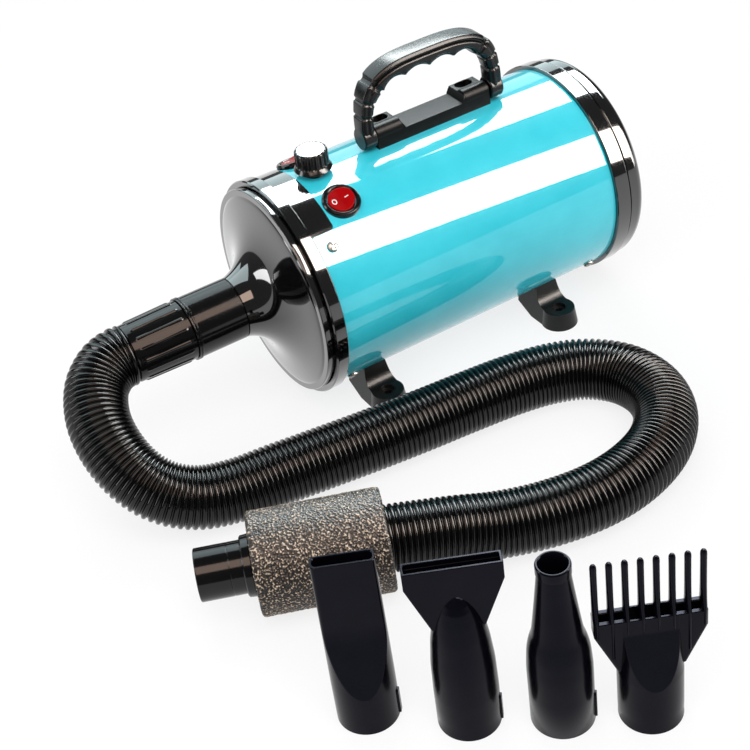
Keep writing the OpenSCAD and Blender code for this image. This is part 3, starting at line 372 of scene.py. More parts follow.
paint = plain("cyan_paint", (54, 203, 221), (66, 213, 230), (0.28, 0.36), 30, 900, 0.02, spec=0.05,
              Coat_Weight=1.0, Coat_Roughness=0.02, Coat_IOR=1.58)
gloss = plain("gloss_black", (6, 6, 7), (10, 10, 11), (0.10, 0.15), 60, 1400, 0.02, IOR=1.5, spec=0.36)
ring_black = plain("ring_black", (5, 5, 6), (9, 9, 10), (0.06, 0.1), 50, 1200, 0.01,
                   Coat_Weight=1.0, Coat_Roughness=0.02, Coat_IOR=1.6)
satin = plain("satin_black", (10, 10, 11), (17, 16, 16), (0.26, 0.36), 80, 2600, 0.12, IOR=1.45, spec=0.34)
grip_black = plain("grip_black", (6, 6, 7), (10, 10, 11), (0.2, 0.3), 90, 3200, 0.08, IOR=1.5, spec=0.3)
base_black = plain("base_black", (5, 5, 6), (9, 9, 9), (0.28, 0.36), 90, 2600, 0.1, IOR=1.45, spec=0.12)
dial_black = plain("dial_black", (7, 8, 9), (12, 13, 14), (0.14, 0.22), 90, 2600, 0.04, IOR=1.5)
nozzle_black = plain("nozzle_black", (5, 5, 10), (8, 8, 14), (0.16, 0.22), 70, 2400, 0.03, IOR=1.5,
                     spec=0.1, Specular_Tint=(0.72, 0.74, 1.0, 1.0))
red = plain("red_plastic", (150, 1, 4), (164, 2, 7), (0.2, 0.28), 120, 2000, 0.03, IOR=1.4, spec=0.08)
mark = plain("white_mark", (236, 236, 232), (246, 246, 244), (0.35, 0.45), 200)
steel = plain("steel", (138, 136, 132), (178, 176, 172), (0.3, 0.42), 300, 5000, 0.05, Metallic=1.0)
hose_rubber = plain("hose_rubber", (5, 5, 6), (9, 9, 9), (0.1, 0.16), 70, 2400, 0.04, IOR=1.5, spec=0.3)


def spun_metal():
    k = Look("silver_cap", Metallic=1.0)
    w = k.node("TexWave", Scale=420.0, Distortion=0.2, wave_type="RINGS", rings_direction="SPHERICAL")
    k.link(k.coord, w.inputs["Vector"])
    k.colour(k.noise(60), (0.3, srgb(198, 200, 204)), (0.7, srgb(232, 234, 238)))
    k.rough(k.noise(500, 2), 0.2, 0.34)
    k.bump(w.outputs["Fac"], 0.03, 0.0001)
    return k.m


def foam_painted_shade_look():
    """Open cells: the height of each grain, kept on the mesh, sets the colour, as painted shade in the pits
    and painted highlights on the grain tops.
    """
    k = Look("grip_foam", IOR=1.5)
    grain = k.node("Attribute", attribute_name="grain").outputs["Fac"]
    # painted shade and painted highlight: low grains go near black, high grains go light tan
    k.colour(grain, (0.32, srgb(8, 7, 6)), (0.56, srgb(34, 29, 25)), (0.74, srgb(90, 76, 63)),
             (0.94, srgb(196, 176, 154)))
    k.rough(k.noise(700, 2), 0.3, 0.5)
    k.bump(k.noise(1500, 2), 0.3, 0.0006)
    return k.m


foam = foam_painted_shade_look()
silver = spun_metal()
filter_foam = plain("filter_foam", (44, 46, 50), (66, 68, 72), (0.8, 0.95), 160, 900, 0.9)

# ---------- the pieces inside, which keep their CAD shape ----------

INNER = (
    (satin, "handle_pins"),
    (steel, "potentiometer pot_shaft foot_screws motor_shaft motor_bearings"),
    (plain("fan_metal", (160, 162, 166), (186, 188, 192), (0.34, 0.5), 90, 2600, 0.06, Metallic=0.9),
     "fan_cover impeller"),
    (plain("copper", (164, 92, 52), (198, 118, 70), (0.25, 0.4), 160, 2600, 0.1, Metallic=0.9),
     "armature commutator heater_coil"),
    (plain("core_steel", (84, 86, 90), (110, 112, 116), (0.4, 0.6), 160, 2600, 0.2, Metallic=0.8),
     "motor_can stator"),
    (plain("carbon", (40, 40, 42), (56, 56, 58), (0.5, 0.7), 160, 2600, 0.2), "motor_brushes"),
    (plain("soft_rubber", (30, 30, 31), (42, 42, 43), (0.6, 0.75), 160, 1600, 0.2),
     "motor_mounts sound_liner"),
    (plain("mica", (196, 184, 146), (214, 202, 166), (0.4, 0.6), 160, 2000, 0.2), "heat_shield heater_frame"),
    (plain("ceramic", (222, 218, 206), (238, 234, 224), (0.3, 0.45), 160, 2000, 0.1), "thermal_cutout"),
    (plain("board_green", (22, 92, 48), (32, 112, 60), (0.3, 0.45), 120, 2000, 0.1), "control_board"))
for look, nodes in INNER:
    for node in nodes.split():
        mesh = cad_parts[node].data
        mesh.materials.clear()
        mesh.materials.append(look)

# ---------- barrel and its ends ----------

Shape().lathe([(82.5, -115, 0.3), (82.5, 130, 0.3), (81, 130), (81, -115)], BARREL, 256) \
    .piece("barrel_shell", paint, "barrel")
Shape().lathe([(80.8, -97), (77.3, -97), (77.3, -125), (84.6, -125), (85.5, -124.1, 0.8),
               (85.5, -115.7, 0.5), (84.9, -115.05, 0.3), (80.8, -115.05)], BARREL, 256) \
    .piece("front_band", ring_black, "front_ring")
outside = bezier((74.5, -131.5), (60, -135.18), (30, -136.14), (23.5, -162.7), 44)
inside = bezier((19, -162.7), (23, -131.14), (60, -131.43), (72, -126.2), 30)
Shape().lathe([(77.1, -120), (77.1, -125.05), (78.5, -125.05), (78.5, -126.2), (81, -126.2, 0.6),
               (81, -130.7, 0.9), (76, -130.7, 0.5)] + outside +
              [(21, -162.7), (21, -182.7), (19, -182.7)] + inside + [(72, -120)], BARREL, 256) \
    .piece("bell", ring_black, "outlet_bell")
Shape().lathe([(80.8, 112), (68, 112), (68, 121.8), (74, 121.8), (74, 143), (84.6, 143),
               (85.6, 142, 0.6), (85.6, 130.6, 0.4), (85.1, 130.05, 0.3), (80.8, 130.05)], BARREL, 256) \
    .piece("rear_band", ring_black, "rear_ring")

cover = Shape()
rim = [(78 + 6 * math.cos(deg(a)), 150.5 + 7 * math.sin(deg(a))) for a in range(0, 91, 6)]
cover.lathe([(71.2, 136.2), (73.7, 136.2), (73.7, 143.3), (81, 143.3), (81, 144.2), (84, 144.2, 0.4)] + rim +
            [(68, 157.5, 0.8), (68, 154), (71.2, 154)], BARREL, 192)
r = 11.6
while r < 61.5:
    cover.lathe([(r, 154, 0.6), (r + 3, 154, 0.6), (r + 3, 157.5, 0.9), (r, 157.5, 0.9)], BARREL, 96, 3)
    r += 6.6
cover.lathe([(0.01, 154), (8, 154, 0.5), (8, 157.2, 1.2), (5, 157.5, 0.5), (0.01, 157.5)], BARREL, 64)
spoke = rounded_box(-1.1, 1.1, -1.5, 1.5, [0.4] * 4, 2)
for k in range(8):
    a = rot(45 * k, "X")
    cover.block(spoke, 7.2, 69, place(0, 0, AXIS_H) @ a @ place(155.6, 0, 0))
cover.piece("intake_grille", ring_black, "intake_cover", body="cover")


LABEL_X0, LABEL_X1, LABEL_ARC = -114.9, -95.9, 38
LABEL_UNDER, LABEL_TOP = 82.6, 83.2


def label():
    """The bare plate bent to the barrel, two of its corners rounded."""
    arc = deg(LABEL_ARC) * LABEL_TOP
    outline = rounded_box(LABEL_X0, LABEL_X1, -arc, arc, (3.2, 0.6, 0.6, 3.2), 8)
    dense = []
    for i, p in enumerate(outline):
        q = outline[(i + 1) % len(outline)]
        n = max(1, int((Vector(q) - Vector(p)).length / 1.5))
        dense += [tuple(Vector(p).lerp(Vector(q), k / n)) for k in range(n)]
    top = inward(dense, 0.15)

    def bend(p, rad):
        a = p[1] / LABEL_TOP
        return (p[0], -rad * math.sin(a), AXIS_H + rad * math.cos(a))
    shape = Shape().rings([[bend(p, LABEL_UNDER) for p in dense], [bend(p, LABEL_TOP - 0.12) for p in dense],
                           [bend(p, LABEL_TOP) for p in top]], caps=False)
    # the face is cut into strips, so that it can bend
    bm = bmesh.new()
    bm.faces.new([bm.verts.new((*p, 0)) for p in top])
    lo, hi = min(p[1] for p in top), max(p[1] for p in top)
    strips = 48
    for k in range(1, strips):
        y = lo + (hi - lo) * k / strips
        every = bm.verts[:] + bm.edges[:] + bm.faces[:]
        bmesh.ops.bisect_plane(bm, geom=every, plane_co=(0, y, 0), plane_no=(0, 1, 0))
    bm.verts.index_update()
    shape.add([bend(v.co, LABEL_TOP) for v in bm.verts], [[v.index for v in f.verts] for f in bm.faces])
    bm.free()
    shape.piece("label_band", ring_black, "label_plate", 30)


label()

# ---------- screws ----------

def pan_screw(shape, matrix, r=4.2, h=2.2):
    """A pan head with a cross recess, its shank going down."""
    n = 48
    rings = [hoop(rad, z, n) for rad, z in (
        (2, -6), (2, 0), (r - 0.2, 0), (r, 0.3), (r, h * 0.35), (r * 0.93, h * 0.68),
        (r * 0.76, h * 0.88), (r * 0.62, h * 0.95))]
    arm, half = r * 0.56, r * 0.13

    def cross(scale, z):
        out = []
        for c, s in around(n):
            q = min(arm / max(abs(c), abs(s)), half / max(min(abs(c), abs(s)), 1e-3))
            q = max(q, half * 1.35) * scale
            out.append((q * c, q * s, z))
        return out
    shape.rings(rings + [cross(1.0, h), cross(0.92, h - 0.3), cross(0.5, h - 1.1)], matrix)


screws = Shape()
for x, a in ((-103.5, 46), (-103.5, -46), (-103.5, 134), (-103.5, 226), (118.5, 134), (118.5, 226)):
    pan_screw(screws, on_barrel(x, a, 0.2) @ rot(25 if x < 0 else 60, "Z"))
screws.piece("shell_screws", steel, "barrel_screws", 30)

# ---------- handle ----------

HX, HY, PIVOT = 23.0, 1.0, 93.0
HALF_L, LEG_T, GRIP_W, GRIP_T, RISE = 62.0, 11.0, 20.0, 16.0, 56.0
BOSS_X = HALF_L - LEG_T - 0.8
NEAR, FAR = HY - 6.5, HY + 16.0
PLATE_TOP, BLOCK_TOP, RECESS = BARREL_R + 9.5, BARREL_R + 15.0, BARREL_R + 6.0
SCREW_Y = FAR - 5.2
BOSS_R, SEAM = 6.5, 0.15  # the pin's boss, and how far walls stand back from it
GROOVES = (18.0, 28.5, 39.0)  # heights of each leg's cross grooves
ARCH_A, ARCH_B, ARCH_N = HALF_L - LEG_T / 2, RISE - GRIP_T / 2, 3.4
PITCH = 0.43 * (HALF_L - LEG_T)


def arch_point(t):
    c, s = math.cos(t), max(math.sin(t), 1e-6)
    r = ((abs(c) / ARCH_A) ** ARCH_N + (s / ARCH_B) ** ARCH_N) ** (-1 / ARCH_N)
    return Vector((-r * c, 0, r * s))


def arch_grip():
    """The grip, ring by ring along its arch, with finger scallops and a groove on each side."""
    steps = 330
    arch = Line([arch_point(math.pi * i / (steps * 6)) for i in range(steps * 6 + 1)])
    rings = []
    for i in range(steps + 1):
        s = arch.length * i / steps
        p, d = arch.at(s), arch.heading(s, 1)
        out = Vector((-d.z, 0, d.x))
        top = smooth((p.z / ARCH_B - 0.4) / 0.6)
        h, w = mix(LEG_T / 2, GRIP_T / 2, top), mix(8.5, GRIP_W / 2, top)
        scallop = 3.5 * abs(math.sin(math.pi * p.x / PITCH)) ** 0.8 if abs(p.x) < 2 * PITCH else 0.0
        leg = 0.0
        if abs(p.x) > ARCH_A * 0.72:
            leg = 0.9 * max(math.exp(-((p.z - at) / 1.25) ** 4) for at in GROOVES)
        g = 1.5 * smooth((p.z - 33) / 8)
        low = -h + scallop
        half = [(h, 0.0), (h, w - 3.2), (h - 0.7, w - 1.7), (h - 2.6, w - 0.9), (h - 3.4, w - 1.0 - g * 0.3),
                (h - 3.9, w - 1.0 - g), (h - 4.8, w - 1.0 - g), (h - 5.4, w - 0.5 - g * 0.3),
                (h - 6.6, w - 0.1), (low + 3.4, w - 0.3), (low + 1.4, w - 1.8), (low + 0.3, w - 4.2),
                (low, 0.0)]
        ring = half + [(u, -v) for u, v in half[-2:0:-1]]
        shrink = 1 - leg * 0.2
        rings.append([p + out * (u * shrink) + Vector((0, v * (1 - leg * 0.13), 0)) for u, v in ring])
    shape, t = Shape().rings(rings, place(HX, HY, AXIS_H + PIVOT)), LEG_T / 2
    for side in (-1, 1):
        shape.lathe([(0.01, t - 0.35), (3.1, t - 0.35), (3.1, -t), (8.2, -t, 0.8), (9, 1 - t, 0.8),
                     (9, t - 1, 0.8), (8.2, t, 0.8), (0.01, t)],
                    place(HX + side * ARCH_A, HY, AXIS_H + PIVOT, rot(90 * side, "Y")), 64)
    shape.piece("carry_handle", grip_black, "handle_grip", 50, body="handle")


arch_grip()


def skin(y):
    """The height of the barrel's skin over its axis, y away from the middle."""
    return math.sqrt(BARREL_R ** 2 - y * y) + 0.05


def under_plate():
    """The plate between the two end blocks, its foot following the barrel."""
    x0, x1, top = HX - BOSS_X, HX + BOSS_X, PLATE_TOP
    foot = [(y, skin(y)) for y in (NEAR + (FAR - NEAR) * k / 10 for k in range(11))]
    ring = foot + [(FAR, top - 1.5), (FAR - 0.45, top - 0.45), (FAR - 1.5, top),
                   (NEAR + 1.0, top), (NEAR + 0.3, top - 0.3), (NEAR, top - 1.0)]
    mid_y, mid_z = (NEAR + FAR) / 2, (top + 82) / 2
    rings = []
    for x, k in ((x0, 0.6), (x0 + 0.18, 0.18), (x0 + 0.6, 0), (x1 - 0.6, 0), (x1 - 0.18, 0.18), (x1, 0.6)):
        rings.append([(x, y + (k if y < mid_y else -k), AXIS_H + z - (k if z > mid_z else 0))
                      for y, z in ring])
    return Shape().rings(rings)


def recess_block(shape, x0, x1, screw_x, outer):
    """An end block with an oval recess for a screw, made as walls round the recess."""
    pill = [(screw_x + (2.5 if c > 0 else -2.5) + 4.5 * c, SCREW_Y + 4.5 * s) for c, s in around(40)]
    rect = []
    for px, py in pill:
        dx, dy = px - screw_x, py - SCREW_Y
        # outward to the block's rectangle
        t = min(((x1 - screw_x) if dx > 0 else (screw_x - x0)) / max(abs(dx), 1e-6),
                ((FAR - SCREW_Y) if dy > 0 else (SCREW_Y - NEAR)) / max(abs(dy), 1e-6))
        rect.append((screw_x + dx * t, SCREW_Y + dy * t))
    # the nearest points go into the corners, so that the outline stays square
    for x, y in ((x0, NEAR), (x1, NEAR), (x0, FAR), (x1, FAR)):
        best = min(range(40), key=lambda i: (rect[i][0] - x) ** 2 + (rect[i][1] - y) ** 2)
        rect[best] = (x, y)

    def level(z, side_in=SEAM, far_in=SEAM):
        """The outline at height z: the inner end slopes to the plate, the near side clears the boss."""
        slope = 3.0 * min(1.0, max(0.0, (BLOCK_TOP - z) / (BLOCK_TOP - PLATE_TOP)))
        lo = x0 + side_in - (slope if outer > 0 else 0)
        hi = x1 - side_in + (slope if outer < 0 else 0)
        boss = math.sqrt(max((BOSS_R - SEAM) ** 2 - max(z - PIVOT, 0.0) ** 2, 0.0))
        near_y = max(NEAR + SEAM, HY - boss)
        return [(min(max(x, lo) if x > x0 + 0.01 else lo, hi) if x < x1 - 0.01 else hi,
                 min(max(y, near_y), FAR - far_in), AXIS_H + z) for x, y in rect]

    def oval(k, z):
        """The recess's outline at height z, scaled by k about the screw."""
        return [(screw_x + (x - screw_x) * k, SCREW_Y + (y - SCREW_Y) * k, AXIS_H + z) for x, y in pill]
    rings = [[(x, y, AXIS_H + skin(y)) for x, y in rect]]
    rings += [level(z) for z in (PLATE_TOP - 0.4, PIVOT, 94.4, 95.6, BLOCK_TOP - 1.0)]
    rings += [level(BLOCK_TOP - 0.3, 0.3, 0.3), level(BLOCK_TOP, 1.0, 1.0)]
    floor = oval(0.4, RECESS)
    shape.rings(rings + [oval(1.06, BLOCK_TOP), oval(1, BLOCK_TOP - 0.4), oval(1, RECESS), floor], caps=False)
    shape.add(floor, [list(range(40))])


base_shape = under_plate()
handle_screws = Shape()
for side in (-1, 1):
    x0, x1 = sorted((HX + side * BOSS_X, HX + side * (BOSS_X - 22)))
    screw_x = HX + side * (BOSS_X - 12)
    recess_block(base_shape, x0, x1, screw_x, side)
    base_shape.lathe([(3.1, 0), (BOSS_R, 0, 0.8), (BOSS_R, 22, 0.8), (3.1, 22)],
                     place(x0, HY, AXIS_H + PIVOT, rot(90, "Y")), 64)
    pan_screw(handle_screws, place(screw_x, SCREW_Y, AXIS_H + RECESS + 0.02, rot(30, "Z")), 4.1, 4.6)
base_shape.piece("handle_plate", base_black, "handle_base", 32)
handle_screws.piece("plate_screws", steel, "handle_screws", 30)

# ---------- speed knob ----------

KNOB = on_barrel(-80.5, 0)
Shape().lathe([(4.8, -0.6), (8.4, -0.6), (8.4, 4.2, 0.8), (4.8, 4.2)], KNOB, 72) \
    .piece("knob_seat", satin, "knob_collar")


def fluted(matrix):
    """The knob: flutes round its wall, and a bore from below."""
    n, flutes = 18 * 12, 18
    levels = [(0, 14.1, 0), (0.3, 14.3, 0), (1.2, 13.9, 0), (3.0, 12.7, 0), (3.5, 12.5, 0.2), (4.1, 12.45, 1),
              (8, 12.4, 1), (13.4, 12.35, 1), (14.2, 12.1, 1), (14.8, 11.6, 0.7), (15, 11.1, 0.3),
              (15, 10.75, 0), (13.8, 10.7, 0)]
    rings = []
    for z, rad, depth in levels:
        ring = []
        for k, (c, s) in enumerate(around(n)):
            cut = 1.15 * depth * math.sqrt(max(0.0, 1 - (swing(k, n, flutes) / 0.62) ** 2))
            ring.append(((rad - cut) * c, (rad - cut) * s, z))
        rings.append(ring)
    rings += [hoop(rad, z, n) for rad, z in ((4.0, 13.8), (4.0, 6), (5.5, 3.5), (5.5, 0))]
    return Shape().rings(rings, matrix, caps=False, loop=True)


knob = fluted(KNOB @ place(0, 0, 4.5))
knob.piece("speed_dial", dial_black, "speed_knob", 34, body="knob")
Shape().lathe([(0.01, 0), (10.5, 0), (10.5, 0.8, 0.3), (10.1, 1.2, 0.3), (0.01, 1.2)],
              KNOB @ place(0, 0, 18.4), 96) \
    .piece("dial_cap", silver, "knob_cap", body="knob")

# ---------- rocker switches ----------

SWITCH_X = -80


def bezel(name, angle, node):
    Shape().lathe([(10.9, -14), (11.7, -14), (11.7, -1.2), (14.3, -0.9), (14.3, 1.9, 0.6), (13.3, 3.2, 0.7),
                   (11.6, 3.2, 0.6), (10.9, 2.6, 0.4)], on_barrel(SWITCH_X, angle), 96) \
        .piece(name, gloss, node)


def rocker(name, mark_name, angle, body, node):
    """A round rocker: its two faces meet in a valley across the middle."""
    m = on_barrel(SWITCH_X, angle) @ place(0, 0, 1) @ rot(-8, "Y")

    def height(x):
        return 2.2 + math.sqrt(x * x + 0.4) * math.tan(deg(7)) - 0.07
    outline = [(10 * c, 10 * s) for c, s in around(96)]
    rings = [[(x, y, -4) for x, y in outline],
             [(x, y, height(x) - 0.7) for x, y in outline],
             [(x * 0.985, y * 0.985, height(x) - 0.2) for x, y in outline]]
    for k in (0.94, 0.85, 0.7, 0.55, 0.4, 0.25, 0.1):
        rings.append([(x * k, y * k, height(x * k)) for x, y in outline])
    Shape().rings(rings, m).piece(name, red, node, 30, body=body)

    # O on the outlet side, I on the intake side
    marks, ring = Shape(), []
    for c, s in around(40):
        ring.append([(q * c * 0.8 - 5.6, q * s, height(q * c * 0.8 - 5.6) + up)
                     for q, up in ((1.6, 0.0), (1.6, 0.12), (2.25, 0.12), (2.25, 0.0))])
    marks.rings(ring, m, loop=True)
    bar = [(2.8, -0.34), (5.8, -0.34), (5.8, 0.34), (2.8, 0.34)]
    marks.rings([[(x, y, height(x) + up) for x, y in bar] for up in (-0.02, 0.12)], m)
    marks.piece(mark_name, mark, None, 30, body=body)


bezel("heat_bezel_ring", 26, "heat_bezel")
bezel("power_bezel_ring", -22, "power_bezel")
rocker("heat_switch_cap", "heat_marks", 26, "heat_switch", "heat_rocker")
rocker("power_switch_cap", "power_marks", -22, "power_switch", "power_rocker")

# ---------- cuff, hose, grip and end tube ----------

Shape().lathe([(21.3, -162.9), (22.9, -162.9, 0.5), (23.7, -163.7, 0.4), (23.7, -201.0, 0.3),
               (24.4, -201.6, 0.3), (24.4, -202.6, 0.25), (23.8, -202.9, 0.15), (23.8, -203.3, 0.15),
               (24.4, -203.6, 0.25), (24.4, -204.6, 0.3), (21.3, -204.6)], BARREL, 192) \
    .piece("bell_connector", gloss, "cuff_connector")


def ribbed_cuff():
    n, ribs = 16 * 16, 16
    rings = []
    prof = [(-205.1, 22.6, 0), (-205.4, 23.1, 0), (-208, 23.05, 0), (-209, 23.0, 0.3), (-210, 22.95, 1),
            (-229, 22.5, 1), (-244.5, 22.2, 1), (-245.6, 22.15, 0.3), (-246.5, 22.1, 0), (-249.7, 22.0, 0),
            (-250.6, 21.4, 0), (-250.7, 20.6, 0), (-250.7, 19.65, 0), (-229, 19.65, 0), (-205.1, 19.65, 0)]
    for x, rad, rib in prof:
        ring = []
        for k, (c, s) in enumerate(around(n)):
            w = swing(k, n, ribs) * rad * math.pi / ribs
            r = rad + 0.75 * rib * math.exp(-(w / 0.85) ** 4)
            ring.append((r * c, r * s, x))
        rings.append(ring)
    return Shape().rings(rings, BARREL, caps=False, loop=True)


ribbed_cuff().piece("hose_cuff", gloss, "cuff_swivel", 40, body="swivel")

line = Line(hose_line())
RIB, RIB_VALLEY, HOSE_BORE = 4.0, 20.9, 17.6
SEAT_END, SEAT_R = 46.6, 19.1  # up to here the hose is thin, inside the cuff


def tube_rings(stations):
    """A ring for each (length, radius) along the hose, without a sudden twist."""
    rings, up = [], Vector((0, 0, 1))
    for at, rad in stations:
        p, d = line.at(at), line.heading(min(max(at, 3), line.length - 3))
        side = d.cross(up).normalized()
        up = side.cross(d).normalized()
        rings.append([p + side * (rad * c) + up * (rad * s) for c, s in around(44)])
    return rings


def ribbed_hose():
    length = line.length - HOSE_FROM
    count = round(length / RIB)
    rib = length / count
    # share of the rib, radius
    profile = [(0.0, RIB_VALLEY), (0.12, 21.0), (0.24, 22.1), (0.38, 22.85), (0.55, 23.0), (0.72, 22.85),
               (0.86, 22.1), (0.96, 21.0)]
    outer = [(HOSE_FROM + (i + t) * rib, rad) for i in range(count) for t, rad in profile]
    outer = [(at, rad if at > SEAT_END else SEAT_R) for at, rad in outer] + [(line.length, RIB_VALLEY)]
    bore = [(HOSE_FROM + length * i / 150, HOSE_BORE) for i in range(151)]
    return Shape().rings(tube_rings(outer) + tube_rings(bore)[::-1], caps=False, loop=True)


hose = ribbed_hose().piece("ribbed_hose", hose_rubber, "hose", 60, weighted=False)

FOAM_IN, FOAM_R, FOAM_L = 23.4, 35.0, 90.0


def foam_sleeve():
    """Cut foam: nearly square ends and a skin of coarse cells, with each grain's height, which the foam's
    material turns into painted shade and painted highlights.
    """
    n, rows = 460, 176
    end = [(FOAM_IN, 0.3)] + [(25 + 8.6 * k / 14, 0.15) for k in range(15)] + [(34.5, 0.7), (FOAM_R, 1.8)]
    wall = [(FOAM_R + 0.1, 1.8 + (FOAM_L - 3.6) * k / rows) for k in range(1, rows)]
    rings, grain = [], []
    for rad, z in end + wall + [(r, FOAM_L - z) for r, z in end[::-1]]:
        ring = []
        for c, s in around(n):
            q = Vector((rad * c, rad * s, z))
            cell = 0.25 + 1.1 * noise.noise(q * 0.92) + 0.45 * noise.noise(q * 2.1)
            grain.append(min(max(cell + 0.25, 0.0), 1.0))
            push = 0.62 * (cell - 0.4) if rad > 34.4 else 0.0
            lift = 0.4 * (cell - 0.4) if 24 < rad < 34.5 else 0.0
            ring.append(((rad + push) * c, (rad + push) * s, z + (-lift if z < FOAM_L / 2 else lift)))
        rings.append(ring)
    rings.append(hoop(FOAM_IN, FOAM_L / 2, n))
    grain += [0.3] * n
    return Shape().rings(rings, GRIP, caps=False, loop=True), grain


sleeve, grain = foam_sleeve()
foam_piece = sleeve.piece("foam_sleeve", foam, "foam_grip", 60, weighted=False)
# the grain heights that paint shade into the foam's pits and highlights onto its grain tops
painted_shade_heights = foam_piece.data.attributes.new("grain", "FLOAT", "POINT")
painted_shade_heights.data.foreach_set("value", grain)
collar = Shape().lathe([(18.0, 90.3), (20.6, 90.3, 0.3), (21.0, 91.0, 0.3), (20.6, 95.8, 0.5),
                        (19.6, 96.7, 0.3), (18.0, 96.7)], GRIP, 120) \
    .piece("tube_collar", gloss, "grip_collar")
tube = Shape().lathe([(16.4, 46.4), (23.0, 46.4), (23.0, 87), (17.8, 87), (17.8, 97.1), (18, 97.1, 0.2),
                      (18, 104.9, 0.15), (17.85, 105.1, 0.1), (17.85, 105.5, 0.1), (18, 105.7, 0.15),
                      (18, 127.1, 0.5), (17.4, 127.7, 0.3), (16.4, 127.7, 0.3)], GRIP, 160) \
    .piece("hose_tube", gloss, "end_tube")

# ---------- nozzles ----------

SPOTS = [(-252, -316), (-205, -358), (-159, -391), (-115, -420)]
SOCKET_R, BASE_R, NOZZLE_WALL = 18.1, 19.8, 1.7
SOCKET_Z = [0.4, 8, 16, 24, 28]  # heights of the rings in a socket's bore


def nozzle_at(i):
    return place(*SPOTS[i], 0, rot(-27, "Z"))


def table(z, rows):
    """Reads a value between the rows of (z, value)."""
    for (z0, a), (z1, b) in zip(rows, rows[1:]):
        if z <= z1:
            return mix(a, b, max(0.0, (z - z0) / (z1 - z0)))
    return rows[-1][1]


def corner(a, c, b):
    """A rounded corner from a to b whose sharp point would be c."""
    return [tuple((1 - t) ** 2 * Vector(a) + 2 * t * (1 - t) * Vector(c) + t * t * Vector(b))
            for t in (0, 0.25, 0.5, 0.75, 1)]


def section(z, body_w, body_d, cut, fan_w=0.0, fan_t=0.0, soft=0.35, edge=1.6):
    """A ring at height z: an ellipse whose front and back are cut flat, joined to a flat fan."""
    f = fan_t / 2
    proud = body_d > f + 1e-4
    a1 = math.asin(min(1.0, f / body_d)) if proud else math.pi / 2
    leave = body_w * math.cos(a1) if proud else 0.0

    def oval(a):
        return (body_w * math.cos(a), body_d * math.sin(a))
    if fan_w > leave + edge:
        quarter = [(fan_w, 0), (fan_w, (f - edge) / 2)]
        quarter += corner((fan_w, f - edge), (fan_w, f), (fan_w - edge, f))
        quarter += [(mix(fan_w - edge, leave, k / 4), f) for k in (1, 2, 3, 4)]
    else:
        quarter = [oval(a1 * k / 10) for k in range(11)]
    if not proud:
        quarter += [(0.0, f)] * 24
    else:
        top = min(cut, body_d)
        a2 = math.asin(top / body_d)
        a2 = a2 if a2 > a1 else a1 + 1e-4
        flat = body_w * math.cos(a2)
        d = min(soft, flat)
        a3 = max(a2 - d / max(body_w, 1.0), a1)
        quarter += [oval(mix(a1, a3, k / 14)) for k in range(1, 15)]
        quarter += corner(oval(a3), (flat, top), (flat - d, top))
        quarter += [(mix(flat - d, 0.0, k / 5), top) for k in range(1, 6)]
    half = quarter + [(-x, y) for x, y in quarter[-2::-1]]
    return [(x, y, z) for x, y in half + [(x, -y) for x, y in half[-2:0:-1]]]


def nozzle(i, shape_at, levels, top, key=True):
    """An open shell: shape_at(z, inset) gives its rings, over a plain round socket."""
    def plain_ring(z, r):
        return section(z, r, r, 99)
    outer = [plain_ring(0.0, BASE_R - 0.35), plain_ring(0.35, BASE_R)]
    outer += [shape_at(z, 0.0) for z in levels if z < top - 0.45]
    outer += [shape_at(top - 0.4, 0.0), shape_at(top, 0.4)]
    inner = [plain_ring(0.0, SOCKET_R + 0.25)]
    inner += [plain_ring(z, SOCKET_R) for z in SOCKET_Z]
    inner += [shape_at(28.05, NOZZLE_WALL + 1.0)]
    inner += [shape_at(z, NOZZLE_WALL) for z in levels if 30 < z < top - 0.6]
    inner += [shape_at(top - 0.5, NOZZLE_WALL), shape_at(top, NOZZLE_WALL - 0.35)]
    shape = Shape().rings(outer + inner[::-1], nozzle_at(i), caps=False, loop=True)
    if key:
        key_rib(shape, i)
    return shape


def key_rib(shape, i):
    """The raised key low on the side of a socket."""
    shape.block(rounded_box(-10, 10, -2.2, 2.2, [1.0] * 4, 3), 0.0, 1.4,
                nozzle_at(i) @ rot(-12, "Z") @ place(BASE_R - 0.4, 0, 10.6, rot(90, "Y")), 0.5)


def flat_at(z, inset):
    r = table(z, [(0, 19.8), (31, 19.8), (131, 19.0)]) - inset
    cut = table(z, [(0, 60), (30.99, 60), (31, 19.8), (70, 6.9), (76, 6.0), (82, 5.75), (131, 5.25)]) - inset
    return section(z, r, r, cut, soft=table(z, [(31, 0.5), (60, 1.0), (90, 2.4), (131, 2.4)]))


def steps_between(*stops):
    """Heights from stop to stop, each (height, gap from there on)."""
    out = []
    for (z0, gap), (z1, _) in zip(stops, stops[1:]):
        n = max(1, round((z1 - z0) / gap))
        out += [z0 + (z1 - z0) * k / n for k in range(n)]
    return out + [stops[-1][0]]


FLAT_Z = [10, 20, 30] + steps_between((31, 0.25), (33, 0.6), (40, 1.5), (60, 2.5), (82, 6), (129.2, 1),
                                      (130.6, 1))
nozzle(0, flat_at, FLAT_Z, 131).piece("flat_tool", nozzle_black, "flat_nozzle", 32, body="flat_piece")


WIDE_W = [(0, 19.8), (29, 19.8), (52, 19.3), (70, 17.7), (84, 15.6), (92, 13.4), (98, 11.2), (103, 8.6),
          (106, 6.2), (108, 3.4), (108.8, 0.6), (131, 0.1)]
WIDE_D = [(0, 19.8), (29, 19.8), (48, 19.2), (62, 18.2), (78, 16.6), (90, 14.2), (98, 11.5), (103, 9.2),
          (106, 7.4), (108, 6.1), (108.8, 5.4), (109.4, 1.0), (131, 1.0)]


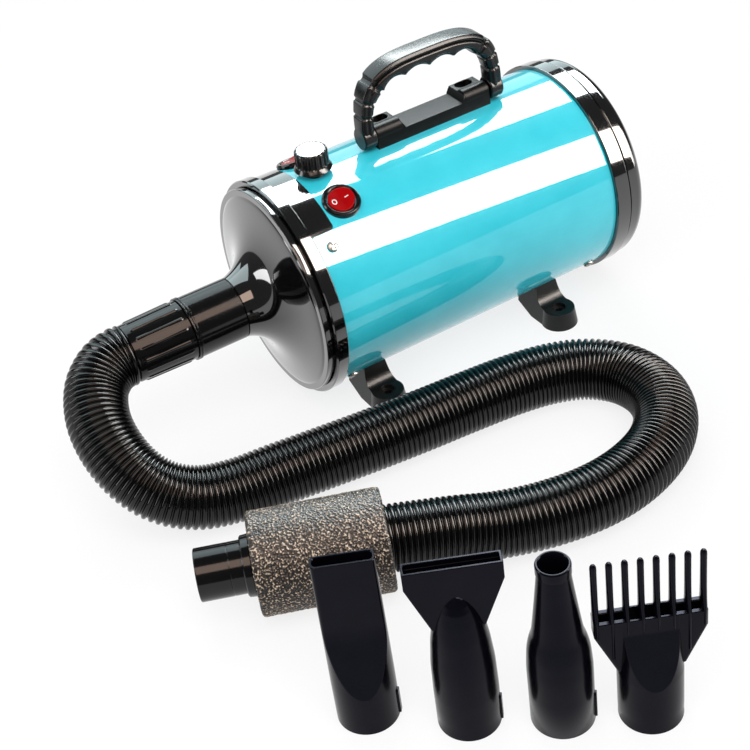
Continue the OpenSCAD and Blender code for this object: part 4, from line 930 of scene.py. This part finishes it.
def wide_at(z, inset):
    """A fishtail that grows from the sides of a blunt bullet, its lip a little proud."""
    body_w, body_d = table(z, WIDE_W), table(z, WIDE_D)
    fan_w = table(z, [(0, 8), (78, 8), (83, 15.4), (118.5, 29.0), (131, 29.0)])
    lip = 0.35 if z > 127.2 else 0.0
    fan_t = table(z, [(0, 11.6), (78, 11.6), (131, 9.8)]) + lip
    return section(z, max(body_w - inset, 0.05), max(body_d - inset, 0.05), 99, max(fan_w - inset, 0.1),
                   max(fan_t - 2 * inset, 0.1), edge=min(0.7, fan_t / 2 - inset))


WIDE_Z = [10, 20, 29] + steps_between((30, 4), (70, 2), (98, 1), (104, 0.5), (108, 0.2), (109, 3), (118, 0.5),
                                      (119, 3), (127.1, 0.15), (127.4, 1), (130.4, 1))
nozzle(1, wide_at, WIDE_Z, 131).piece("wide_tool", nozzle_black, "wide_nozzle", 26, body="wide_piece")

CONE = [(19.8, 28), (19.8, 44), (19.35, 53), (18.6, 61), (17.2, 67.5), (15.6, 73), (14.4, 81), (12.6, 96),
        (11.0, 110), (9.9, 120.4)]


MOUTH = [(10.5, 121.2, 0.4), (10.5, 127.2, 0.6), (9.9, 128, 0.3), (9.0, 128, 0.3), (8.2, 127), (8.0, 121)]
round_tool = Shape().lathe([(18.3, 0), (19.5, 0), (19.8, 0.4)] + spline(CONE, 4) + MOUTH +
                           [(13.9, 73), (17.1, 28), (18.1, 28), (18.1, 0.4)], nozzle_at(2), 120)
key_rib(round_tool, 2)
round_tool.piece("round_tool", nozzle_black, "round_nozzle", 40, weighted=False, body="round_piece")


def comb_at(z, inset):
    body_w = table(z, [(0, 19.8), (40, 19.8), (73, 17.2), (85, 16.8)]) - inset
    cut = table(z, [(0, 60), (35.99, 60), (36, 19.8), (73, 6.55), (85, 6.3)]) - inset
    fan_w = table(z, [(0, 8), (41, 8), (43, 19.9), (73.5, 33.0), (85, 33.0)]) - inset
    depth_in = inset * 2.0 if inset > 1 else inset
    body_d = table(z, [(0, 19.8), (85, 19.0)]) - inset
    return section(z, body_w, body_d, cut, fan_w, 12.4 - 2 * depth_in, 0.5, min(2.2, 6.2 - depth_in))


COMB_Z = [10, 20, 30] + steps_between((36, 0.3), (38, 0.6), (46, 1.5), (72, 0.7), (75, 3), (84, 1), (84.6, 1))
comb = nozzle(3, comb_at, COMB_Z, 85, key=False)
TOOTH = [(84, 1.9, 7.1), (86.5, 2.0, 6.2), (92, 2.0, 4.6), (102, 2.0, 3.1), (114, 2.0, 2.3), (122, 2.0, 2.0),
         (124.6, 2.05, 2.05), (126.2, 1.9, 1.9), (127.3, 1.35, 1.35), (127.9, 0.6, 0.6)]
for k in range(8):
    x = -31.1 + k * 62.2 / 7
    root = 73.4 if k not in (1, 6) else 54.5
    tooth = [(root, 0.3, 6.3), (root + 0.5, 1.3, 6.8), (root + 1.5, 1.9, 7.1)] + TOOTH
    comb.rings([[(x + rx * c, ry * s, z) for c, s in around(28)] for z, rx, ry in tooth], nozzle_at(3))
comb.piece("comb_tool", nozzle_black, "comb_nozzle", 32, body="comb_piece")

# ---------- feet, drilled for their screws, and the cord's gland ---

FOOT_X, FOOT_Y = 81.0, 68.5
TOE_H, LEAN = 14.0, 1 / 7  # the toe's height, and how much its walls lean in
SOLE_R, FOOT_W = 14.5, 13.5  # the toe's radius, and half the width behind it
BOLT_R, HEAD_R = 2.75, 5.55


def solid(shape):
    """A bare mesh object for cutting."""
    return put("tool", shape.mesh("tool", clean=False))


def drill(r, z, n):
    """A round cutter at the foot's bolt, from z up."""
    return Shape().rings([[(r * c, FOOT_Y + r * s, h) for c, s in around(n)] for h in (z, 20)])


def carve(shape, *steps):
    """The mesh after boolean steps (operation, shape) and a fine round on its edges."""
    base = solid(shape)
    tools = []
    for operation, cutter in steps:
        tools.append(solid(cutter))
        cut = base.modifiers.new("cut", "BOOLEAN")
        cut.operation, cut.object, cut.solver = operation, tools[-1], "EXACT"
    edge = base.modifiers.new("edge", "BEVEL")
    edge.width, edge.segments, edge.limit_method, edge.angle_limit = 0.0009, 3, "ANGLE", deg(34)
    graph = bpy.context.evaluated_depsgraph_get()
    mesh = bpy.data.meshes.new_from_object(base.evaluated_get(graph))
    for obj in [base] + tools:
        bpy.data.objects.remove(obj)
    return mesh


def foot_mesh():
    """The far front foot at x = 0: a toe under an upright that is cut to the barrel."""
    bow = bezier((FOOT_Y - 16, 34), (FOOT_Y - 15, TOE_H + 7), (FOOT_Y - 13, TOE_H), (FOOT_Y - 4, TOE_H), 24)
    side = [(30, 6), (30, 40), (FOOT_Y - 16, 40)] + bow
    side += [(FOOT_Y + 20, TOE_H), (FOOT_Y + 20, 0), (FOOT_Y - 20, 0)]
    body = Shape().rings([[(x, y, z) for y, z in side] for x in (-25, 25)])
    plan = [(SOLE_R * math.cos(deg(a)), FOOT_Y + SOLE_R * math.sin(deg(a))) for a in range(-20, 201, 4)]
    plan = [(x, y) for x, y in plan if abs(x) > FOOT_W or y > FOOT_Y]
    plan += [(-FOOT_W, FOOT_Y - 5.3), (-FOOT_W, 25), (FOOT_W, 25), (FOOT_W, FOOT_Y - 5.3)]

    def grown(z):
        d = z * LEAN
        k = (SOLE_R - d) / SOLE_R
        return [(x * k, FOOT_Y + (y - FOOT_Y) * k, z) if y > FOOT_Y - 5.2 else (x - math.copysign(d, x), y, z)
                for x, y in plan]
    outline = Shape().rings([grown(0), grown(40)])
    barrel_space = Shape().rings([[(x, BARREL_R * c, AXIS_H + BARREL_R * s) for c, s in around(256)]
                                  for x in (-40, 40)])
    return carve(body, ("INTERSECT", outline), ("DIFFERENCE", barrel_space),
                 ("DIFFERENCE", drill(BOLT_R, -1, 48)), ("DIFFERENCE", drill(HEAD_R, TOE_H - 3, 64)))


pattern = foot_mesh()
FEET = (("foot_a", -FOOT_X, -1, "foot_front_near"), ("foot_b", -FOOT_X, 1, "foot_front_far"),
        ("foot_c", FOOT_X, -1, "foot_rear_near"), ("foot_d", FOOT_X, 1, "foot_rear_far"))
for name, x, side, node in FEET:
    shape = Shape()
    shape.add([v.co / MM for v in pattern.vertices], [list(f.vertices) for f in pattern.polygons],
              place(x, 0, 0, Matrix.Scale(-1, 4, (0, 1, 0)) if side < 0 else None))
    shape.piece(name, satin, node, 40)

GLAND = on_barrel(56, -125)
gland = Shape().lathe([(3.6, -8), (7, -8), (7, 3), (7, 6, 0.6), (6.4, 7, 0.4), (6.2, 9), (5.9, 9.4, 0.2),
                       (5.9, 10.4, 0.2), (6.0, 10.8, 0.2), (5.6, 13), (5.3, 16, 0.5), (3.6, 16)], GLAND, 64)
gland.block([(9.8 * c, 9.8 * s) for c, s in around(6)], 0.7, 3.5, GLAND, 0.5)
gland.piece("gland_body", satin, "cord_gland", 34)

# ---------- stage and light ----------

FLOOR_COLOUR, FLOOR_WHITE = (0.93, 0.93, 0.93, 1), 0.8  # colour, and its white as seen
WORLD_LIGHT, WORLD_IN_GLOSS = 0.6, 0.12


def emitter(name, color, strength):
    m = bpy.data.materials.new(name)
    m.use_nodes = True
    t = m.node_tree
    t.nodes.remove(t.nodes["Principled BSDF"])
    e = add_node(t, "Emission", Color=(*color, 1), Strength=strength)
    t.links.new(e.outputs[0], t.nodes["Material Output"].inputs["Surface"])
    return m


def quad(name, corners, material):
    mesh = bpy.data.meshes.new(name)
    mesh.from_pydata(corners, [], [[0, 1, 2, 3]])
    mesh.materials.append(material)
    return put(name, mesh)


def card(name, corners, color, strength):
    """A light card that only shows in reflections."""
    obj = quad(name, corners, emitter(name, color, strength))
    obj.visible_camera = obj.visible_diffuse = obj.visible_shadow = obj.visible_volume_scatter = False


def strip_card(name, start, end, color, strength):
    """A card along the barrel, 1 m from its axis; each end is (x, angle, angle), 0 being the top."""
    near, far = ([(x, -math.sin(deg(a)), AXIS_H * MM + math.cos(deg(a))) for a in (a0, a1)]
                 for x, a0, a1 in (start, end))
    card(name, near + far[::-1], color, strength)


def standing_card(name, foot, width, height, color, strength):
    """An upright card that faces the object."""
    f = Vector(foot)
    side = f.cross(Vector((0, 0, 1))).normalized() * width / 2
    rise = Vector((0, 0, height))
    card(name, [f - side, f + side, f + side + rise, f - side + rise], color, strength)


strip_card("near_strip", (0.19, 19.4, 52.3), (0.95, 52.1, 87.2), (1.0, 0.9, 0.82), 24)
strip_card("top_strip", (0.19, -56.0, -22.0), (0.95, -35.6, 6.5), (0.92, 0.99, 1.0), 24)
strip_card("back_sky", (-0.5, -80, -57), (1.1, -76, -50), (0.80, 0.97, 1.0), 2.2)
strip_card("left_sky", (-0.9, -66, -14), (0.15, -56, -24), (0.82, 0.97, 1.0), 3.4)
strip_card("left_warm", (-0.9, 20, 50), (0.15, 24, 50), (1.0, 0.74, 0.6), 4.6)
standing_card("left_post", (-1.30, 0.36, 0.12), 0.34, 0.7, (1, 1, 1), 8)
standing_card("right_post", (0.98, -0.78, 0.08), 0.30, 0.7, (1, 0.97, 0.94), 8)

def most(tree, a, b):
    """The larger of two values."""
    m = add_node(tree, "Math", operation="MAXIMUM")
    tree.links.new(a, m.inputs[0])
    tree.links.new(b, m.inputs[1])
    return m.outputs[0]


def floor_look():
    """White where it is seen or mirrored, a plain light surface to other rays."""
    k = Look("floor", Base_Color=FLOOR_COLOUR, Roughness=0.9, Specular_IOR_Level=0.0)
    ray = k.node("LightPath").outputs
    seen = most(k.t, ray["Is Camera Ray"], ray["Is Glossy Ray"])
    share = k.node("Math", operation="MULTIPLY")
    share.inputs[1].default_value = FLOOR_WHITE
    white = k.node("Emission", Color=(1, 1, 1, 1))
    blend = k.node("MixShader")
    k.link(most(k.t, seen, ray["Is Transmission Ray"]), share.inputs[0])
    k.link(share.outputs[0], blend.inputs[0])
    k.link(k.p.outputs[0], blend.inputs[1])
    k.link(white.outputs[0], blend.inputs[2])
    k.link(blend.outputs[0], k.t.nodes["Material Output"].inputs["Surface"])
    return k.m


quad("floor", [(-6, -6, 0), (6, -6, 0), (6, 6, 0), (-6, 6, 0)], floor_look())


def area(name, at, to, size, power):
    data = bpy.data.lights.new(name, "AREA")
    data.shape, data.size, data.size_y = "RECTANGLE", size[0], size[1]
    data.energy = power
    obj = put(name, data)
    obj.location = at
    obj.rotation_euler = (Vector(to) - Vector(at)).to_track_quat("-Z", "Y").to_euler()
    obj.visible_glossy = False


area("key", (-0.4, -1.2, 2.0), (0, -0.1, 0.05), (1.6, 1.6), 26)
area("fill", (-1.8, -0.6, 1.2), (-0.1, -0.1, 0.05), (1.4, 1.4), 10)
area("back", (0.6, 1.5, 1.9), (0, 0, 0.1), (1.6, 1.2), 14)

world = bpy.data.worlds.new("world")
world.use_nodes = True
tree = world.node_tree
sky = tree.nodes["Background"]
sky.inputs["Color"].default_value = (1, 1, 1, 1)
path = add_node(tree, "LightPath").outputs
dim = add_node(tree, "MapRange", To_Min=WORLD_LIGHT, To_Max=WORLD_IN_GLOSS)
tree.links.new(path["Is Glossy Ray"], dim.inputs["Value"])
tree.links.new(most(tree, path["Is Camera Ray"], dim.outputs["Result"]), sky.inputs["Strength"])
bpy.context.scene.world = world
bpy.context.scene.view_settings.view_transform = "Standard"

# ---------- points along the hose, and the intake's filter pad ---

[tuple(line.at(HOSE_FROM + (line.length - HOSE_FROM) * i / 120) * MM) for i in range(121)]

Shape().lathe([(0.01, 122.2), (73.6, 122.2, 0.6), (73.6, 131.8, 0.9), (0.01, 131.8)], BARREL, 96) \
    .piece("filter_pad", filter_foam, "intake_filter")
